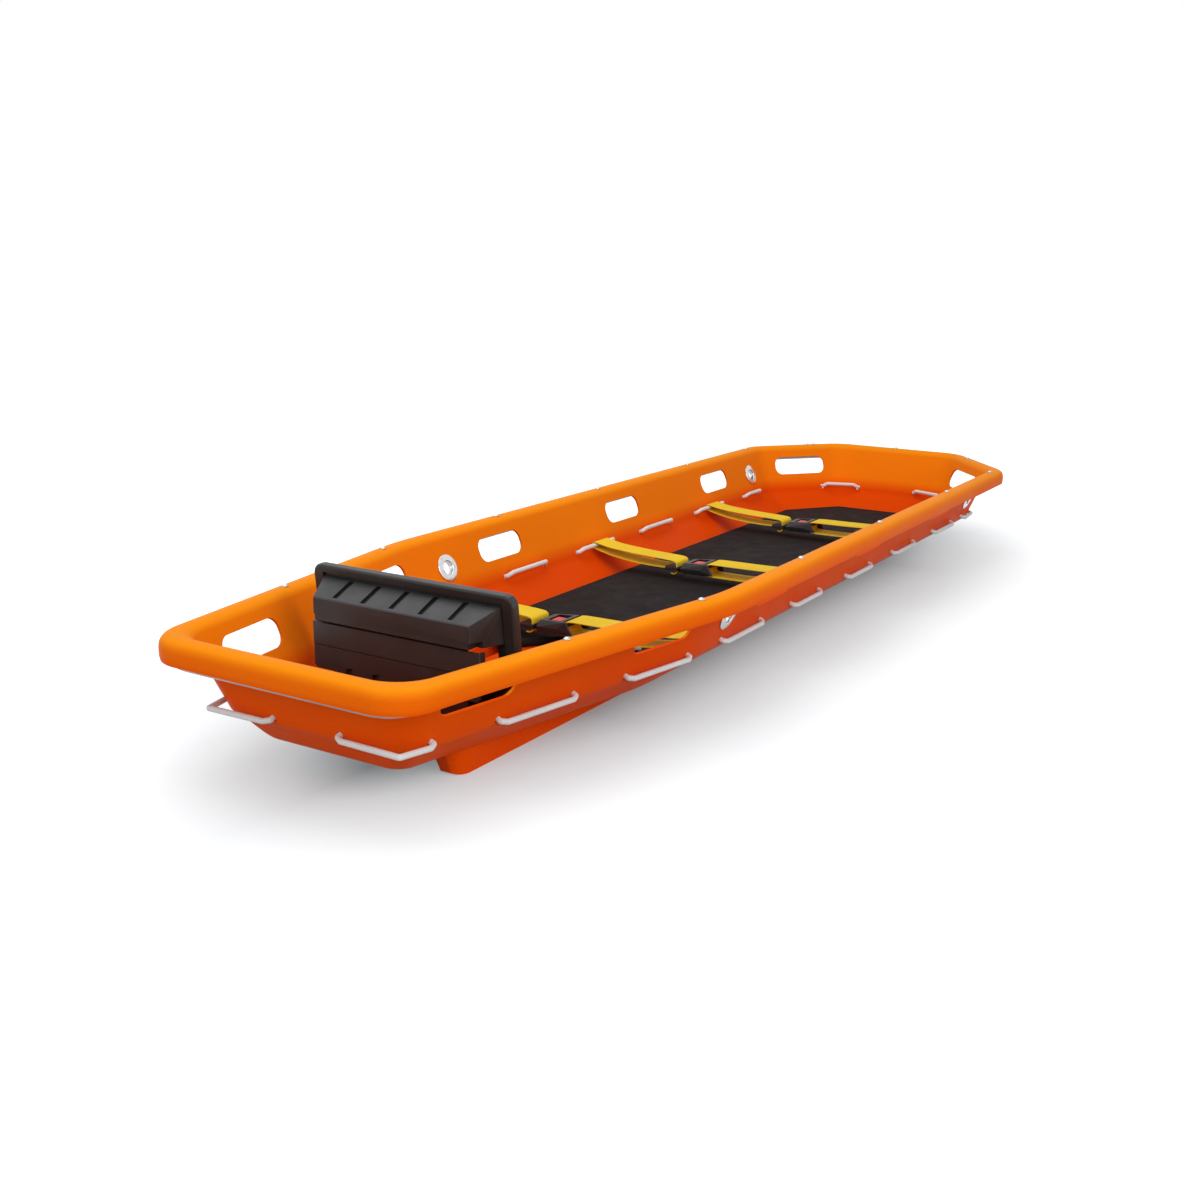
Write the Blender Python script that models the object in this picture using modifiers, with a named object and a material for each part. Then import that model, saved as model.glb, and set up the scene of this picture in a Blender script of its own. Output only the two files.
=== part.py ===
"""Basket stretcher: a moulded shell with a tube in its rim, a lacing rope, three belts and a footrest.

Metres. +X runs from the foot end to the head end, +Y to the patient's left, +Z up.
The origin is on the ground under the middle of the object.
"""

import math

import bmesh
import bpy
from mathutils import Matrix, Vector

# Rim crest, seen from above: half of a shape that is mirrored in Y.
CREST_END_X = 1.066
CREST_SIDE_Y = 0.300
TAPER_START_X = -0.475
FOOT_CORNER_Y = 0.195
HEAD_SIDE_CORNER_X = 0.886
HEAD_END_CORNER_Y = 0.150
CORNER_RADII = (0.060, 0.50, 0.060, 0.070)
CORNER_STEPS = (6, 3, 3, 3)
STRAIGHT_STEPS = (0, 3, 6, 0, 0)
SMALLEST_RADIUS = 0.025
RADIUS_LOSS = 0.40

# Section of the shell: height, then how far it stands in from the crest at the
# foot end, the taper, the side, the head chamfer and the head end.
SHELL_THICKNESS = 0.004
FLOOR_Z = 0.043
BOWL_LEVELS = (
    (FLOOR_Z, (0.100, 0.106, 0.118, 0.117, 0.117)),
    (0.0445, (0.095, 0.101, 0.112, 0.111, 0.111)),
    (0.0500, (0.087, 0.093, 0.103, 0.102, 0.102)),
    (0.0755, (0.0665, 0.0665, 0.0665, 0.0665, 0.0665)),
    (0.0810, (0.0590, 0.0590, 0.0590, 0.0590, 0.0590)),
    (0.0870, (0.0543, 0.0543, 0.0543, 0.0543, 0.0543)),
)
WALL_LEAN = 0.3989
ROLL_RADIUS = 0.0195
ROLL_Z = 0.1705
ROLL_ANGLES = (21.75, 45, 67, 90, 108, 126, 144, 162, 180)
ROLL_SQUARENESS = 2.7
SKIRT = ((-0.0195, 0.1655), (-0.0185, 0.1600))
FOOT_DROP_START_X, FOOT_DROP_LENGTH = -1.020, 0.040
SKIRT_FOOT_DROP = 0.0030

# Runners under the floor, each an open channel moulded in one with the shell.
RUNNER_MID_Y = 0.101
RUNNER_FOOT_X, RUNNER_HEAD_X = -0.868, 0.790
RUNNER_HALF_WIDTH = 0.021
RUNNER_DRAFT = 0.006
RUNNER_NOSE = 0.023
RUNNER_NOSE_LIFT = 0.003
RUNNER_NOSE_TAPER = 0.0155
RUNNER_NOSE_SLOPE = 0.50
RUNNER_SHARES = (0.0, 0.06, 0.22, 0.50, 1.0)
RUNNER_WALL = 0.004

# Openings in the wall.
HAND_HOLE_Z = 0.1443
HAND_HOLE_SIZE = (0.1265, 0.0430)
HAND_HOLE_RADIUS = 0.018
SIDE_HAND_HOLES_X = (-0.916, -0.567, -0.2325, 0.197, 0.611)
CHAMFER_HAND_HOLE_X = 0.952
CHAMFER_HAND_HOLE_LENGTH = 0.133
EYELET_X = (-0.3935, 0.7955)
EYELET_Z = 0.1345
EYELET_HOLE_RADIUS = 0.0156
EYELET_FLANGE_RADIUS = 0.0240
EYELET_BARREL_RADIUS = 0.0150
EYELET_BORE_RADIUS = 0.0116

# Lacing rope.
ROPE_Z = 0.0925
ROPE_RADIUS = 0.004
ROPE_HOLE_RADIUS = 0.0053
ROPE_STANDOFF = 0.0115
ROPE_PASSAGE = 0.0068
ROPE_LEAD = 0.0075
FOOT_ROPE_HOLE_Y = 0.056
HEAD_ROPE_HOLE_Y = 0.072
CHAMFER_ROPE_HOLE_X = 0.981
SIDE_ROPE_HOLES_X = (-0.974, -0.864, -0.727, -0.622, -0.485, -0.385, -0.246, -0.125,
                     -0.008, 0.117, 0.236, 0.359, 0.480, 0.603, 0.726, 0.803)
FOOT_KNEE = (-1.029, 0.158)

# Tube in the rim and its rivets.
TUBE_RADIUS = 0.0145
TUBE_Z = 0.1670
TUBE_FOOT_DROP = 0.0045
RIVET_SIDE_X = (-0.800, -0.528, -0.203, 0.150, 0.535, 0.838)
RIVET_CHAMFER_X = (0.9965, 1.0100)
RIVET_HEAD_RADIUS = 0.0050
RIVET_SHANK_RADIUS = 0.0023
RIVET_HOLE_RADIUS = 0.0029
RIVET_LENGTH = 0.019

# Mattress.
MAT_THICKNESS = 0.012
MAT_HALF_WIDTH = 0.180
MAT_FOOT_X, MAT_HEAD_X = -0.470, 0.940
MAT_NOTCH = (-0.408, 0.026, 0.070)
MAT_HEAD_CORNER = (0.820, 0.092)

# Belts: the rope run that holds each, and the section of the webbing along Y and Z.
BELT_X = (-0.421, 0.062, 0.545)
WEBBING_WIDTH = 0.048
WEBBING_THICKNESS = 0.0016
WEBBING_LOOP_RADIUS = 0.0062
BUCKLE_CHEEK_X = 0.0250
BUCKLE_NEAR_TOP_Z, BUCKLE_FAR_TOP_Z = 0.0940, 0.0900
BUTTON_OFFSET = (-0.0020, 0.0160, 0.0866)
BUTTON_HALF_SIZE = (0.0105, 0.0090)
TONGUE_OFFSET = (0.0, 0.0500, 0.0765)

# Footrest.
BOARD_HALF_WIDTH = 0.1705
BOARD_THICKNESS = 0.0145
BOARD_TOP_Z = 0.237
BOARD_FOOT_Z = 0.0480
BOARD_TOP_X = -0.8175
BOARD_LEAN = math.radians(7.0)
LATCH_PLATE_X = -0.8480
HOUSING_RIBS = 5
HOUSING_RIB_PITCH = 0.049

GAP = 0.0003
STRETCHER = "basket_stretcher"


def clear_scene():
    for old in list(bpy.data.objects):
        bpy.data.objects.remove(old, do_unlink=True)
    for name in (STRETCHER, "cutters"):
        found = bpy.data.collections.get(name)
        if found:
            bpy.data.collections.remove(found)
        bpy.context.scene.collection.children.link(bpy.data.collections.new(name))


def material(name, colour, roughness, metallic=0.0):
    made = bpy.data.materials.get(name)
    if made:
        return made
    made = bpy.data.materials.new(name)
    made.use_nodes = True
    shader = made.node_tree.nodes["Principled BSDF"]
    shader.inputs["Base Color"].default_value = (*colour, 1.0)
    shader.inputs["Roughness"].default_value = roughness
    shader.inputs["Metallic"].default_value = metallic
    return made


def orange_plastic():
    return material("orange_plastic", (0.95, 0.24, 0.02), 0.42)


def black_plastic():
    return material("black_plastic", (0.025, 0.025, 0.027), 0.45)


def polished_steel():
    return material("polished_steel", (0.80, 0.80, 0.80), 0.18, 1.0)


def aluminium():
    return material("aluminium", (0.62, 0.62, 0.63), 0.35, 1.0)


def yellow_webbing():
    return material("yellow_webbing", (0.85, 0.62, 0.05), 0.80)


def add_object(name, mesh, look, place=None, smooth_angle=40):
    made = bpy.data.objects.new(name, mesh)
    bpy.data.collections[STRETCHER].objects.link(made)
    mesh.materials.append(look)
    mesh.shade_smooth()
    mesh.set_sharp_from_angle(angle=math.radians(smooth_angle))
    if place is not None:
        made.matrix_world = place
    return made


def add_cutter(name, bm):
    mesh = bpy.data.meshes.new(name)
    bm.to_mesh(mesh)
    bm.free()
    made = bpy.data.objects.new(name, mesh)
    bpy.data.collections["cutters"].objects.link(made)
    made.hide_render = True
    made.display_type = "WIRE"
    return made


def boolean(target, cutter, operation="DIFFERENCE"):
    step = target.modifiers.new(cutter.name, "BOOLEAN")
    step.operation = operation
    step.solver = "EXACT"
    step.object = cutter
    return step


def mesh_from(bm, name):
    bmesh.ops.recalc_face_normals(bm, faces=bm.faces)
    mesh = bpy.data.meshes.new(name)
    bm.to_mesh(mesh)
    bm.free()
    return mesh


def add_box(bm, low, high):
    """A box between two corners, as a bmesh cube."""
    size = [b - a for a, b in zip(low, high)]
    middle = [(a + b) / 2 for a, b in zip(low, high)]
    place = Matrix.Translation(middle) @ Matrix.Diagonal((*size, 1.0))
    return bmesh.ops.create_cube(bm, size=1.0, matrix=place)["verts"]


def add_prism(bm, outline, place, near, far):
    """A flat outline in the XY plane of place, extruded from near to far along its Z axis."""
    bottom = [bm.verts.new(place @ Vector((x, y, near))) for x, y in outline]
    face = bm.faces.new(bottom)
    top = bmesh.ops.extrude_face_region(bm, geom=[face])["geom"]
    shift = place.to_3x3() @ Vector((0, 0, far - near))
    bmesh.ops.translate(bm, verts=[v for v in top if isinstance(v, bmesh.types.BMVert)], vec=shift)


def add_cylinder(bm, place, radius, length, sides):
    bmesh.ops.create_cone(bm, cap_ends=True, segments=sides, radius1=radius, radius2=radius,
                          depth=length, matrix=place)


def rounded_rectangle(width, height, radius, steps=5):
    points = []
    for corner in range(4):
        sx = 1 if corner in (0, 3) else -1
        sy = 1 if corner in (0, 1) else -1
        for k in range(steps + 1):
            angle = math.radians(90 * corner + 90 * k / steps)
            points.append((sx * (width / 2 - radius) + radius * math.cos(angle),
                           sy * (height / 2 - radius) + radius * math.sin(angle)))
    return points


def loft(bm, rings, closed=True):
    """Skins rings of the same count with quads and returns the rings' vertices."""
    rows = [[bm.verts.new(p) for p in ring] for ring in rings]
    count = len(rows[0])
    for lower, upper in zip(rows, rows[1:]):
        for i in range(count if closed else count - 1):
            j = (i + 1) % count
            bm.faces.new((lower[i], lower[j], upper[j], upper[i]))
    return rows


def crest_corners():
    """Corners of the crest's half outline, from the middle of the foot end to that of the head end."""
    return [Vector((-CREST_END_X, 0)), Vector((-CREST_END_X, FOOT_CORNER_Y)),
            Vector((TAPER_START_X, CREST_SIDE_Y)), Vector((HEAD_SIDE_CORNER_X, CREST_SIDE_Y)),
            Vector((CREST_END_X, HEAD_END_CORNER_Y)), Vector((CREST_END_X, 0))]


def inset_corners(insets):
    corners = crest_corners()
    lines = []
    for start, end, inset in zip(corners, corners[1:], insets):
        along = (end - start).normalized()
        inward = Vector((along.y, -along.x))
        lines.append((start + inward * inset, along))
    points = [Vector((lines[0][0].x, 0))]
    for (p, t), (q, s) in zip(lines, lines[1:]):
        reach = (q - p).cross(s) / t.cross(s)
        points.append(p + t * reach)
    points.append(Vector((lines[-1][0].x, 0)))
    return points


def half_outline(insets):
    """The half outline at +Y with rounded corners and the same number of points at every level."""
    corners = inset_corners(insets)
    depth = sum(insets) / len(insets)
    points = []
    last = corners[0]
    for index in range(1, len(corners) - 1):
        before, corner, after = corners[index - 1:index + 2]
        u = (corner - before).normalized()
        v = (after - corner).normalized()
        turn = u.angle(v)
        radius = max(CORNER_RADII[index - 1] - RADIUS_LOSS * depth, SMALLEST_RADIUS)
        reach = radius * math.tan(turn / 2)
        start = corner - u * reach
        centre = start + Vector((u.y, -u.x)) * radius
        straight = STRAIGHT_STEPS[index - 1]
        for k in range(1, straight):
            points.append(last.lerp(start, k / straight))
        steps = CORNER_STEPS[index - 1]
        for k in range(steps + 1):
            spoke = start - centre
            spoke.rotate(Matrix.Rotation(-turn * k / steps, 2))
            points.append(centre + spoke)
        last = points[-1]
    return points


def ring(insets, z, foot_drop=0.0):
    """A level outline that may hang lower across the foot end."""
    half = half_outline(insets)
    mirrored = [Vector((p.x, -p.y)) for p in reversed(half)]
    points = []
    for p in half + mirrored:
        share = min(max((FOOT_DROP_START_X - p.x) / FOOT_DROP_LENGTH, 0.0), 1.0)
        points.append(Vector((p.x, p.y, z - foot_drop * share)))
    return points


def wall_inset(z):
    """How far the wall stands in from the crest at a height above the crease."""
    crease_z, insets = BOWL_LEVELS[-1]
    return insets[0] - WALL_LEAN * (z - crease_z)


def wall_frame(z, x=None, y=None):
    """Middle of the wall at +Y: X axis along the wall towards the head, Y axis up it, Z axis outwards."""
    half = half_outline([wall_inset(z)] * 5)
    half = [Vector((half[0].x, 0))] + half + [Vector((half[-1].x, 0))]
    for start, end in zip(half, half[1:]):
        if x is not None and start.x <= x <= end.x and end.x - start.x > 1e-6:
            share = (x - start.x) / (end.x - start.x)
            break
        if y is not None and x is None and start.y <= y <= end.y and start.x < 0:
            share = (y - start.y) / (end.y - start.y)
            break
        if y is not None and x is None and end.y <= -y <= start.y and start.x > 0:
            share = (start.y + y) / (start.y - end.y)
            break
    here = start.lerp(end, share)
    along = (end - start).normalized()
    outward = Vector((-along.y, along.x, -WALL_LEAN)).normalized()
    along = Vector((along.x, along.y, 0))
    up = outward.cross(along)
    centre = Vector((here.x, here.y, z)) + outward * (SHELL_THICKNESS / 2)
    axes = Matrix((along, up, outward)).transposed().to_4x4()
    return Matrix.Translation(centre) @ axes


def mirror_y(frame):
    """The same frame on the other side, kept right-handed."""
    flipped = Matrix.Diagonal((1, -1, 1, 1)) @ frame
    return flipped @ Matrix.Diagonal((1, -1, 1, 1))


def both_sides(frame):
    return (frame, mirror_y(frame))


def roll_point(angle):
    """Inset and height on the rolled rim, which is round inside and squarer on its outer half."""
    c = math.cos(math.radians(angle))
    s = math.sin(math.radians(angle))
    if c < 0:
        power = 2 / ROLL_SQUARENESS
        c = -abs(c) ** power
        s = max(s, 0.0) ** power
    return ROLL_RADIUS * c, ROLL_Z + ROLL_RADIUS * s


def shell_rings():
    rings = [ring(insets, z) for z, insets in BOWL_LEVELS]
    middle_z = (BOWL_LEVELS[-1][0] + ROLL_Z) / 2
    rings.append(ring([wall_inset(middle_z)] * 5, middle_z))
    for angle in ROLL_ANGLES:
        inset, z = roll_point(angle)
        rings.append(ring([inset] * 5, z))
    for inset, z in SKIRT:
        rings.append(ring([inset] * 5, z, SKIRT_FOOT_DROP))
    return rings


def runner_section(x, share, shrink, low, high, side):
    """Four corners of a runner's section, wider and longer at the top; share is 0 at a nose's tip."""
    middle = side * RUNNER_MID_Y
    blend = 1 - math.sqrt(1 - (1 - share) ** 2)
    half_width = RUNNER_HALF_WIDTH - shrink - blend * RUNNER_NOSE_TAPER
    bottom = low + blend * RUNNER_NOSE_LIFT
    top_x = x + math.copysign(blend * RUNNER_NOSE_SLOPE * (high - low), x)
    return [(x, middle - half_width, bottom), (x, middle + half_width, bottom),
            (top_x, middle + half_width + RUNNER_DRAFT, high),
            (top_x, middle - half_width - RUNNER_DRAFT, high)]


def runner_solid(bm, side, shrink, low, high):
    """A runner with rounded noses; shrink makes the channel that is cut out of it."""
    foot = [(RUNNER_FOOT_X + shrink + share * RUNNER_NOSE, share) for share in RUNNER_SHARES]
    head = [(RUNNER_HEAD_X - shrink - share * RUNNER_NOSE, share) for share in reversed(RUNNER_SHARES)]
    rows = loft(bm, [runner_section(x, share, shrink, low, high, side) for x, share in foot + head])
    bm.faces.new(rows[0])
    bm.faces.new(reversed(rows[-1]))


def wall_cutters():
    bm = bmesh.new()
    size = rounded_rectangle(*HAND_HOLE_SIZE, HAND_HOLE_RADIUS)
    for x in SIDE_HAND_HOLES_X:
        for place in both_sides(wall_frame(HAND_HOLE_Z, x=x)):
            add_prism(bm, size, place, -0.016, 0.017)
    size = rounded_rectangle(CHAMFER_HAND_HOLE_LENGTH, HAND_HOLE_SIZE[1], HAND_HOLE_RADIUS)
    for place in both_sides(wall_frame(HAND_HOLE_Z, x=CHAMFER_HAND_HOLE_X)):
        add_prism(bm, size, place, -0.016, 0.017)
    for x in EYELET_X:
        for place in both_sides(wall_frame(EYELET_Z, x=x)):
            add_cylinder(bm, place, EYELET_HOLE_RADIUS, 0.020, 16)
    for frame in rope_frames():
        for place in both_sides(frame):
            add_cylinder(bm, place, ROPE_HOLE_RADIUS, 0.016, 8)
    bmesh.ops.recalc_face_normals(bm, faces=bm.faces)
    return add_cutter("wall_openings", bm)


def rivet_places():
    """Points on the crest where the rivets hold the rim to its tube."""
    crest = [CREST_SIDE_Y] * len(RIVET_SIDE_X)
    slope = (CREST_SIDE_Y - FOOT_CORNER_Y) / (TAPER_START_X + CREST_END_X)
    places = []
    for x, y in zip(RIVET_SIDE_X, crest):
        y = y - max(0, TAPER_START_X - x) * slope
        places += [(x, y), (x, -y)]
    fall = (CREST_SIDE_Y - HEAD_END_CORNER_Y) / (CREST_END_X - HEAD_SIDE_CORNER_X)
    chamfer = [(x, CREST_SIDE_Y - (x - HEAD_SIDE_CORNER_X) * fall) for x in RIVET_CHAMFER_X]
    places += chamfer + [(chamfer[-1][0], -chamfer[-1][1]), (CREST_END_X, 0)]
    return places


def rivet_drill():
    bm = bmesh.new()
    for x, y in rivet_places():
        place = Matrix.Translation((x, y, ROLL_Z + ROLL_RADIUS - RIVET_LENGTH / 2))
        add_cylinder(bm, place, RIVET_HOLE_RADIUS, RIVET_LENGTH + 0.002, 6)
    return add_cutter("rivet_holes", bm)


def make_shell():
    bm = bmesh.new()
    rows = loft(bm, shell_rings())
    bm.faces.new(rows[0])
    bmesh.ops.recalc_face_normals(bm, faces=bm.faces)
    floor = min(bm.faces, key=lambda f: f.calc_center_median().z)
    if floor.normal.z < 0:
        bmesh.ops.reverse_faces(bm, faces=bm.faces)
    mesh = bpy.data.meshes.new("shell")
    bm.to_mesh(mesh)
    bm.free()
    shell = add_object("shell", mesh, orange_plastic(), smooth_angle=30)
    skin = shell.modifiers.new("skin", "SOLIDIFY")
    skin.thickness = SHELL_THICKNESS
    skin.offset = -1.0
    skin.use_even_offset = True
    runners = bmesh.new()
    channels = bmesh.new()
    for side in (1, -1):
        runner_solid(runners, side, 0.0, 0.0, FLOOR_Z - 0.0015)
        runner_solid(channels, side, RUNNER_WALL, RUNNER_WALL, FLOOR_Z + 0.010)
    bmesh.ops.recalc_face_normals(runners, faces=runners.faces)
    bmesh.ops.recalc_face_normals(channels, faces=channels.faces)
    boolean(shell, add_cutter("runners", runners), "UNION")
    boolean(shell, add_cutter("runner_channels", channels))
    boolean(shell, wall_cutters())
    boolean(shell, bpy.data.objects["rivet_holes"])
    return shell


def curve_object(name, points, radius, look, closed, sides_step):
    curve = bpy.data.curves.new(name, "CURVE")
    curve.dimensions = "3D"
    curve.bevel_depth = radius
    curve.bevel_resolution = sides_step
    curve.use_fill_caps = not closed
    line = curve.splines.new("POLY")
    line.points.add(len(points) - 1)
    for point, here in zip(line.points, points):
        point.co = (*here, 1.0)
    line.use_cyclic_u = closed
    curve.materials.append(look)
    made = bpy.data.objects.new(name, curve)
    bpy.data.collections[STRETCHER].objects.link(made)
    return made


def as_mesh(curve_made, look):
    """The curve as a mesh object of the same name, so that it can be cut."""
    name = curve_made.name
    bpy.context.view_layer.update()
    graph = bpy.context.evaluated_depsgraph_get()
    mesh = bpy.data.meshes.new_from_object(curve_made.evaluated_get(graph))
    place = curve_made.matrix_world.copy()
    bpy.data.objects.remove(curve_made, do_unlink=True)
    bm = bmesh.new()
    bm.from_mesh(mesh)
    bmesh.ops.remove_doubles(bm, verts=bm.verts, dist=0.00001)
    bmesh.ops.recalc_face_normals(bm, faces=bm.faces)
    bm.to_mesh(mesh)
    bm.free()
    mesh.materials.clear()
    made = add_object(name, mesh, look, place)
    made.name = name
    return made


def make_rim_tube():
    points = ring([0.0] * 5, TUBE_Z, TUBE_FOOT_DROP)
    tube = as_mesh(curve_object("rim_tube", points, TUBE_RADIUS, aluminium(), True, 3), aluminium())
    boolean(tube, bpy.data.objects["rivet_holes"])
    return tube


def rope_frames():
    """Frames of the rope's holes at +Y, from the foot end round to the head end."""
    frames = [wall_frame(ROPE_Z, y=FOOT_ROPE_HOLE_Y)]
    frames += [wall_frame(ROPE_Z, x=x) for x in SIDE_ROPE_HOLES_X]
    frames.append(wall_frame(ROPE_Z, x=CHAMFER_ROPE_HOLE_X))
    frames.append(wall_frame(ROPE_Z, y=-HEAD_ROPE_HOLE_Y))
    return frames


def head_knee():
    """Where the rope turns outside the wall at the corner between side and head chamfer."""
    corner = inset_corners([wall_inset(ROPE_Z)] * 5)[3]
    return corner + Vector((0.4, 0.9)).normalized() * (ROPE_STANDOFF - 0.003)


def rope_points():
    """The rope weaves in and out through its holes; the -Y half mirrors the +Y half."""
    half = []
    came = -1
    for index, frame in enumerate(rope_frames()):
        left = -came
        half.append(frame @ Vector((-ROPE_LEAD, 0, came * ROPE_STANDOFF)))
        half.append(frame @ Vector((0, 0, came * ROPE_PASSAGE)))
        half.append(frame @ Vector((0, 0, left * ROPE_PASSAGE)))
        half.append(frame @ Vector((ROPE_LEAD, 0, left * ROPE_STANDOFF)))
        if index == 0:
            half.append(Vector((*FOOT_KNEE, half[-1].z)))
        if index == len(SIDE_ROPE_HOLES_X):
            half.append(Vector((*head_knee(), half[-1].z)))
        came = left
    return half + [Vector((p.x, -p.y, p.z)) for p in reversed(half)]


def make_rope():
    look = material("white_rope", (0.82, 0.82, 0.80), 0.85)
    return curve_object("lacing_rope", rope_points(), ROPE_RADIUS, look, True, 2)


def turned(name, profile, steps, place, look):
    """A profile in the XZ plane, swept round Z with the Screw modifier."""
    mesh = bpy.data.meshes.new(name)
    closed = profile[0][0] > 1e-6
    edges = [(i, i + 1) for i in range(len(profile) - 1)]
    if closed:
        edges.append((len(profile) - 1, 0))
    mesh.from_pydata([(r, 0, z) for r, z in profile], edges, [])
    made = add_object(name, mesh, look, place)
    sweep = made.modifiers.new("turn", "SCREW")
    sweep.steps = steps
    sweep.render_steps = steps
    sweep.use_merge_vertices = True
    sweep.merge_threshold = 0.00001
    sweep.use_smooth_shade = True
    return made


def make_eyelets():
    """Two-part grommets, pressed together through the wall."""
    face = SHELL_THICKNESS / 2 + GAP
    barrel, bore, flange = EYELET_BARREL_RADIUS, EYELET_BORE_RADIUS, EYELET_FLANGE_RADIUS
    profile = [(bore + 0.001, face + 0.0026), (flange - 0.0014, face + 0.0020), (flange, face),
               (barrel, face), (barrel, -face), (flange, -face), (flange - 0.0006, -face - 0.0018),
               (0.0150, -face - 0.0030), (bore, -face - 0.0014)]
    for side, label in ((1, "left"), (-1, "right")):
        for x, end in zip(EYELET_X, ("foot", "head")):
            place = wall_frame(EYELET_Z, x=x)
            if side < 0:
                place = mirror_y(place)
            turned("eyelet_%s_%s" % (end, label), profile, 16, place, polished_steel())


def make_rivets():
    top = ROLL_Z + ROLL_RADIUS
    profile = [(0, 0.0031), (0.0028, 0.0027), (0.0044, 0.0015), (RIVET_HEAD_RADIUS, GAP),
               (RIVET_SHANK_RADIUS, GAP), (RIVET_SHANK_RADIUS, -RIVET_LENGTH + 0.001),
               (0, -RIVET_LENGTH + 0.001)]
    for index, (x, y) in enumerate(rivet_places()):
        turned("rim_rivet_%02d" % (index + 1), profile, 8, Matrix.Translation((x, y, top)), polished_steel())


def make_mattress():
    """A thin foam mat: flat on the floor, rounded along its upper and lower edges."""
    notch_x, notch_inner, notch_outer = MAT_NOTCH
    corner_x, end_y = MAT_HEAD_CORNER
    half = [(notch_x, notch_inner), (MAT_FOOT_X, notch_outer), (MAT_FOOT_X - 0.006, MAT_HALF_WIDTH - 0.022),
            (MAT_FOOT_X + 0.020, MAT_HALF_WIDTH), (corner_x, MAT_HALF_WIDTH), (MAT_HEAD_X, end_y)]
    outline = half + [(x, -y) for x, y in reversed(half)]
    bm = bmesh.new()
    add_prism(bm, outline, Matrix.Identity(4), FLOOR_Z + GAP, FLOOR_Z + GAP + MAT_THICKNESS)
    look = material("black_mat", (0.020, 0.018, 0.018), 0.88)
    mat = add_object("mattress", mesh_from(bm, "mattress"), look)
    edge = mat.modifiers.new("edge", "BEVEL")
    edge.width = 0.004
    edge.segments = 2
    return mat


def ribbon(name, path, x, closed):
    """Flat webbing across X along a path of Y and Z, as an open strip with Solidify."""
    bm = bmesh.new()
    half = WEBBING_WIDTH / 2
    rows = [(bm.verts.new((x - half, y, z)), bm.verts.new((x + half, y, z))) for y, z in path]
    pairs = list(zip(rows, rows[1:]))
    if closed:
        pairs.append((rows[-1], rows[0]))
    for (a, b), (c, d) in pairs:
        bm.faces.new((a, b, d, c))
    mesh = bpy.data.meshes.new(name)
    bm.to_mesh(mesh)
    bm.free()
    made = add_object(name, mesh, yellow_webbing())
    skin = made.modifiers.new("skin", "SOLIDIFY")
    skin.thickness = WEBBING_THICKNESS
    skin.offset = 0.0
    skin.use_even_offset = True
    return made


def rope_loop(x):
    """Centre of the rope's inside run at the belt, as Y and Z on the +Y side."""
    frame = wall_frame(ROPE_Z, x=x)
    point = frame @ Vector((0, 0, -ROPE_STANDOFF))
    return point.y, point.z


def loop_arc(y, z, side, steps=6):
    """Half a turn of webbing round the rope, from over it to under it."""
    points = []
    for k in range(steps + 1):
        angle = math.pi / 2 - math.pi * k / steps
        points.append((side * (y + WEBBING_LOOP_RADIUS * math.cos(angle)),
                       z + WEBBING_LOOP_RADIUS * math.sin(angle)))
    return points


def far_webbing(name, x):
    y, z = rope_loop(x)
    upper = [(0.0660, 0.0668), (0.0595, 0.0664), (0.0558, 0.0682), (0.0550, 0.0715), (0.0550, 0.0858),
             (0.0562, 0.0888), (0.0612, 0.0912), (0.0800, 0.0926), (0.1150, 0.0938), (0.1600, 0.0962),
             (0.2050, 0.1000)]
    lower = [(0.2000, 0.0850), (0.1500, 0.0785), (0.1100, 0.0766), (0.0792, 0.0765)]
    return ribbon(name, upper + loop_arc(y, z, 1) + lower, x, False)


def near_webbing(name, x):
    y, z = rope_loop(x)
    over_bar = [(-0.0230, 0.0946), (-0.0125, 0.0938), (-0.0086, 0.0922), (-0.0070, 0.0890),
                (-0.0072, 0.0780), (-0.0092, 0.0738), (-0.0140, 0.0718), (-0.0240, 0.0712)]
    lower = [(-0.1000, 0.0722), (-0.1600, 0.0775), (-0.2050, 0.0860)]
    upper = [(-0.2050, 0.0992), (-0.1600, 0.0972), (-0.1000, 0.0956)]
    return ribbon(name, over_bar + lower + loop_arc(y, z, -1)[::-1] + upper, x, True)


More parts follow.
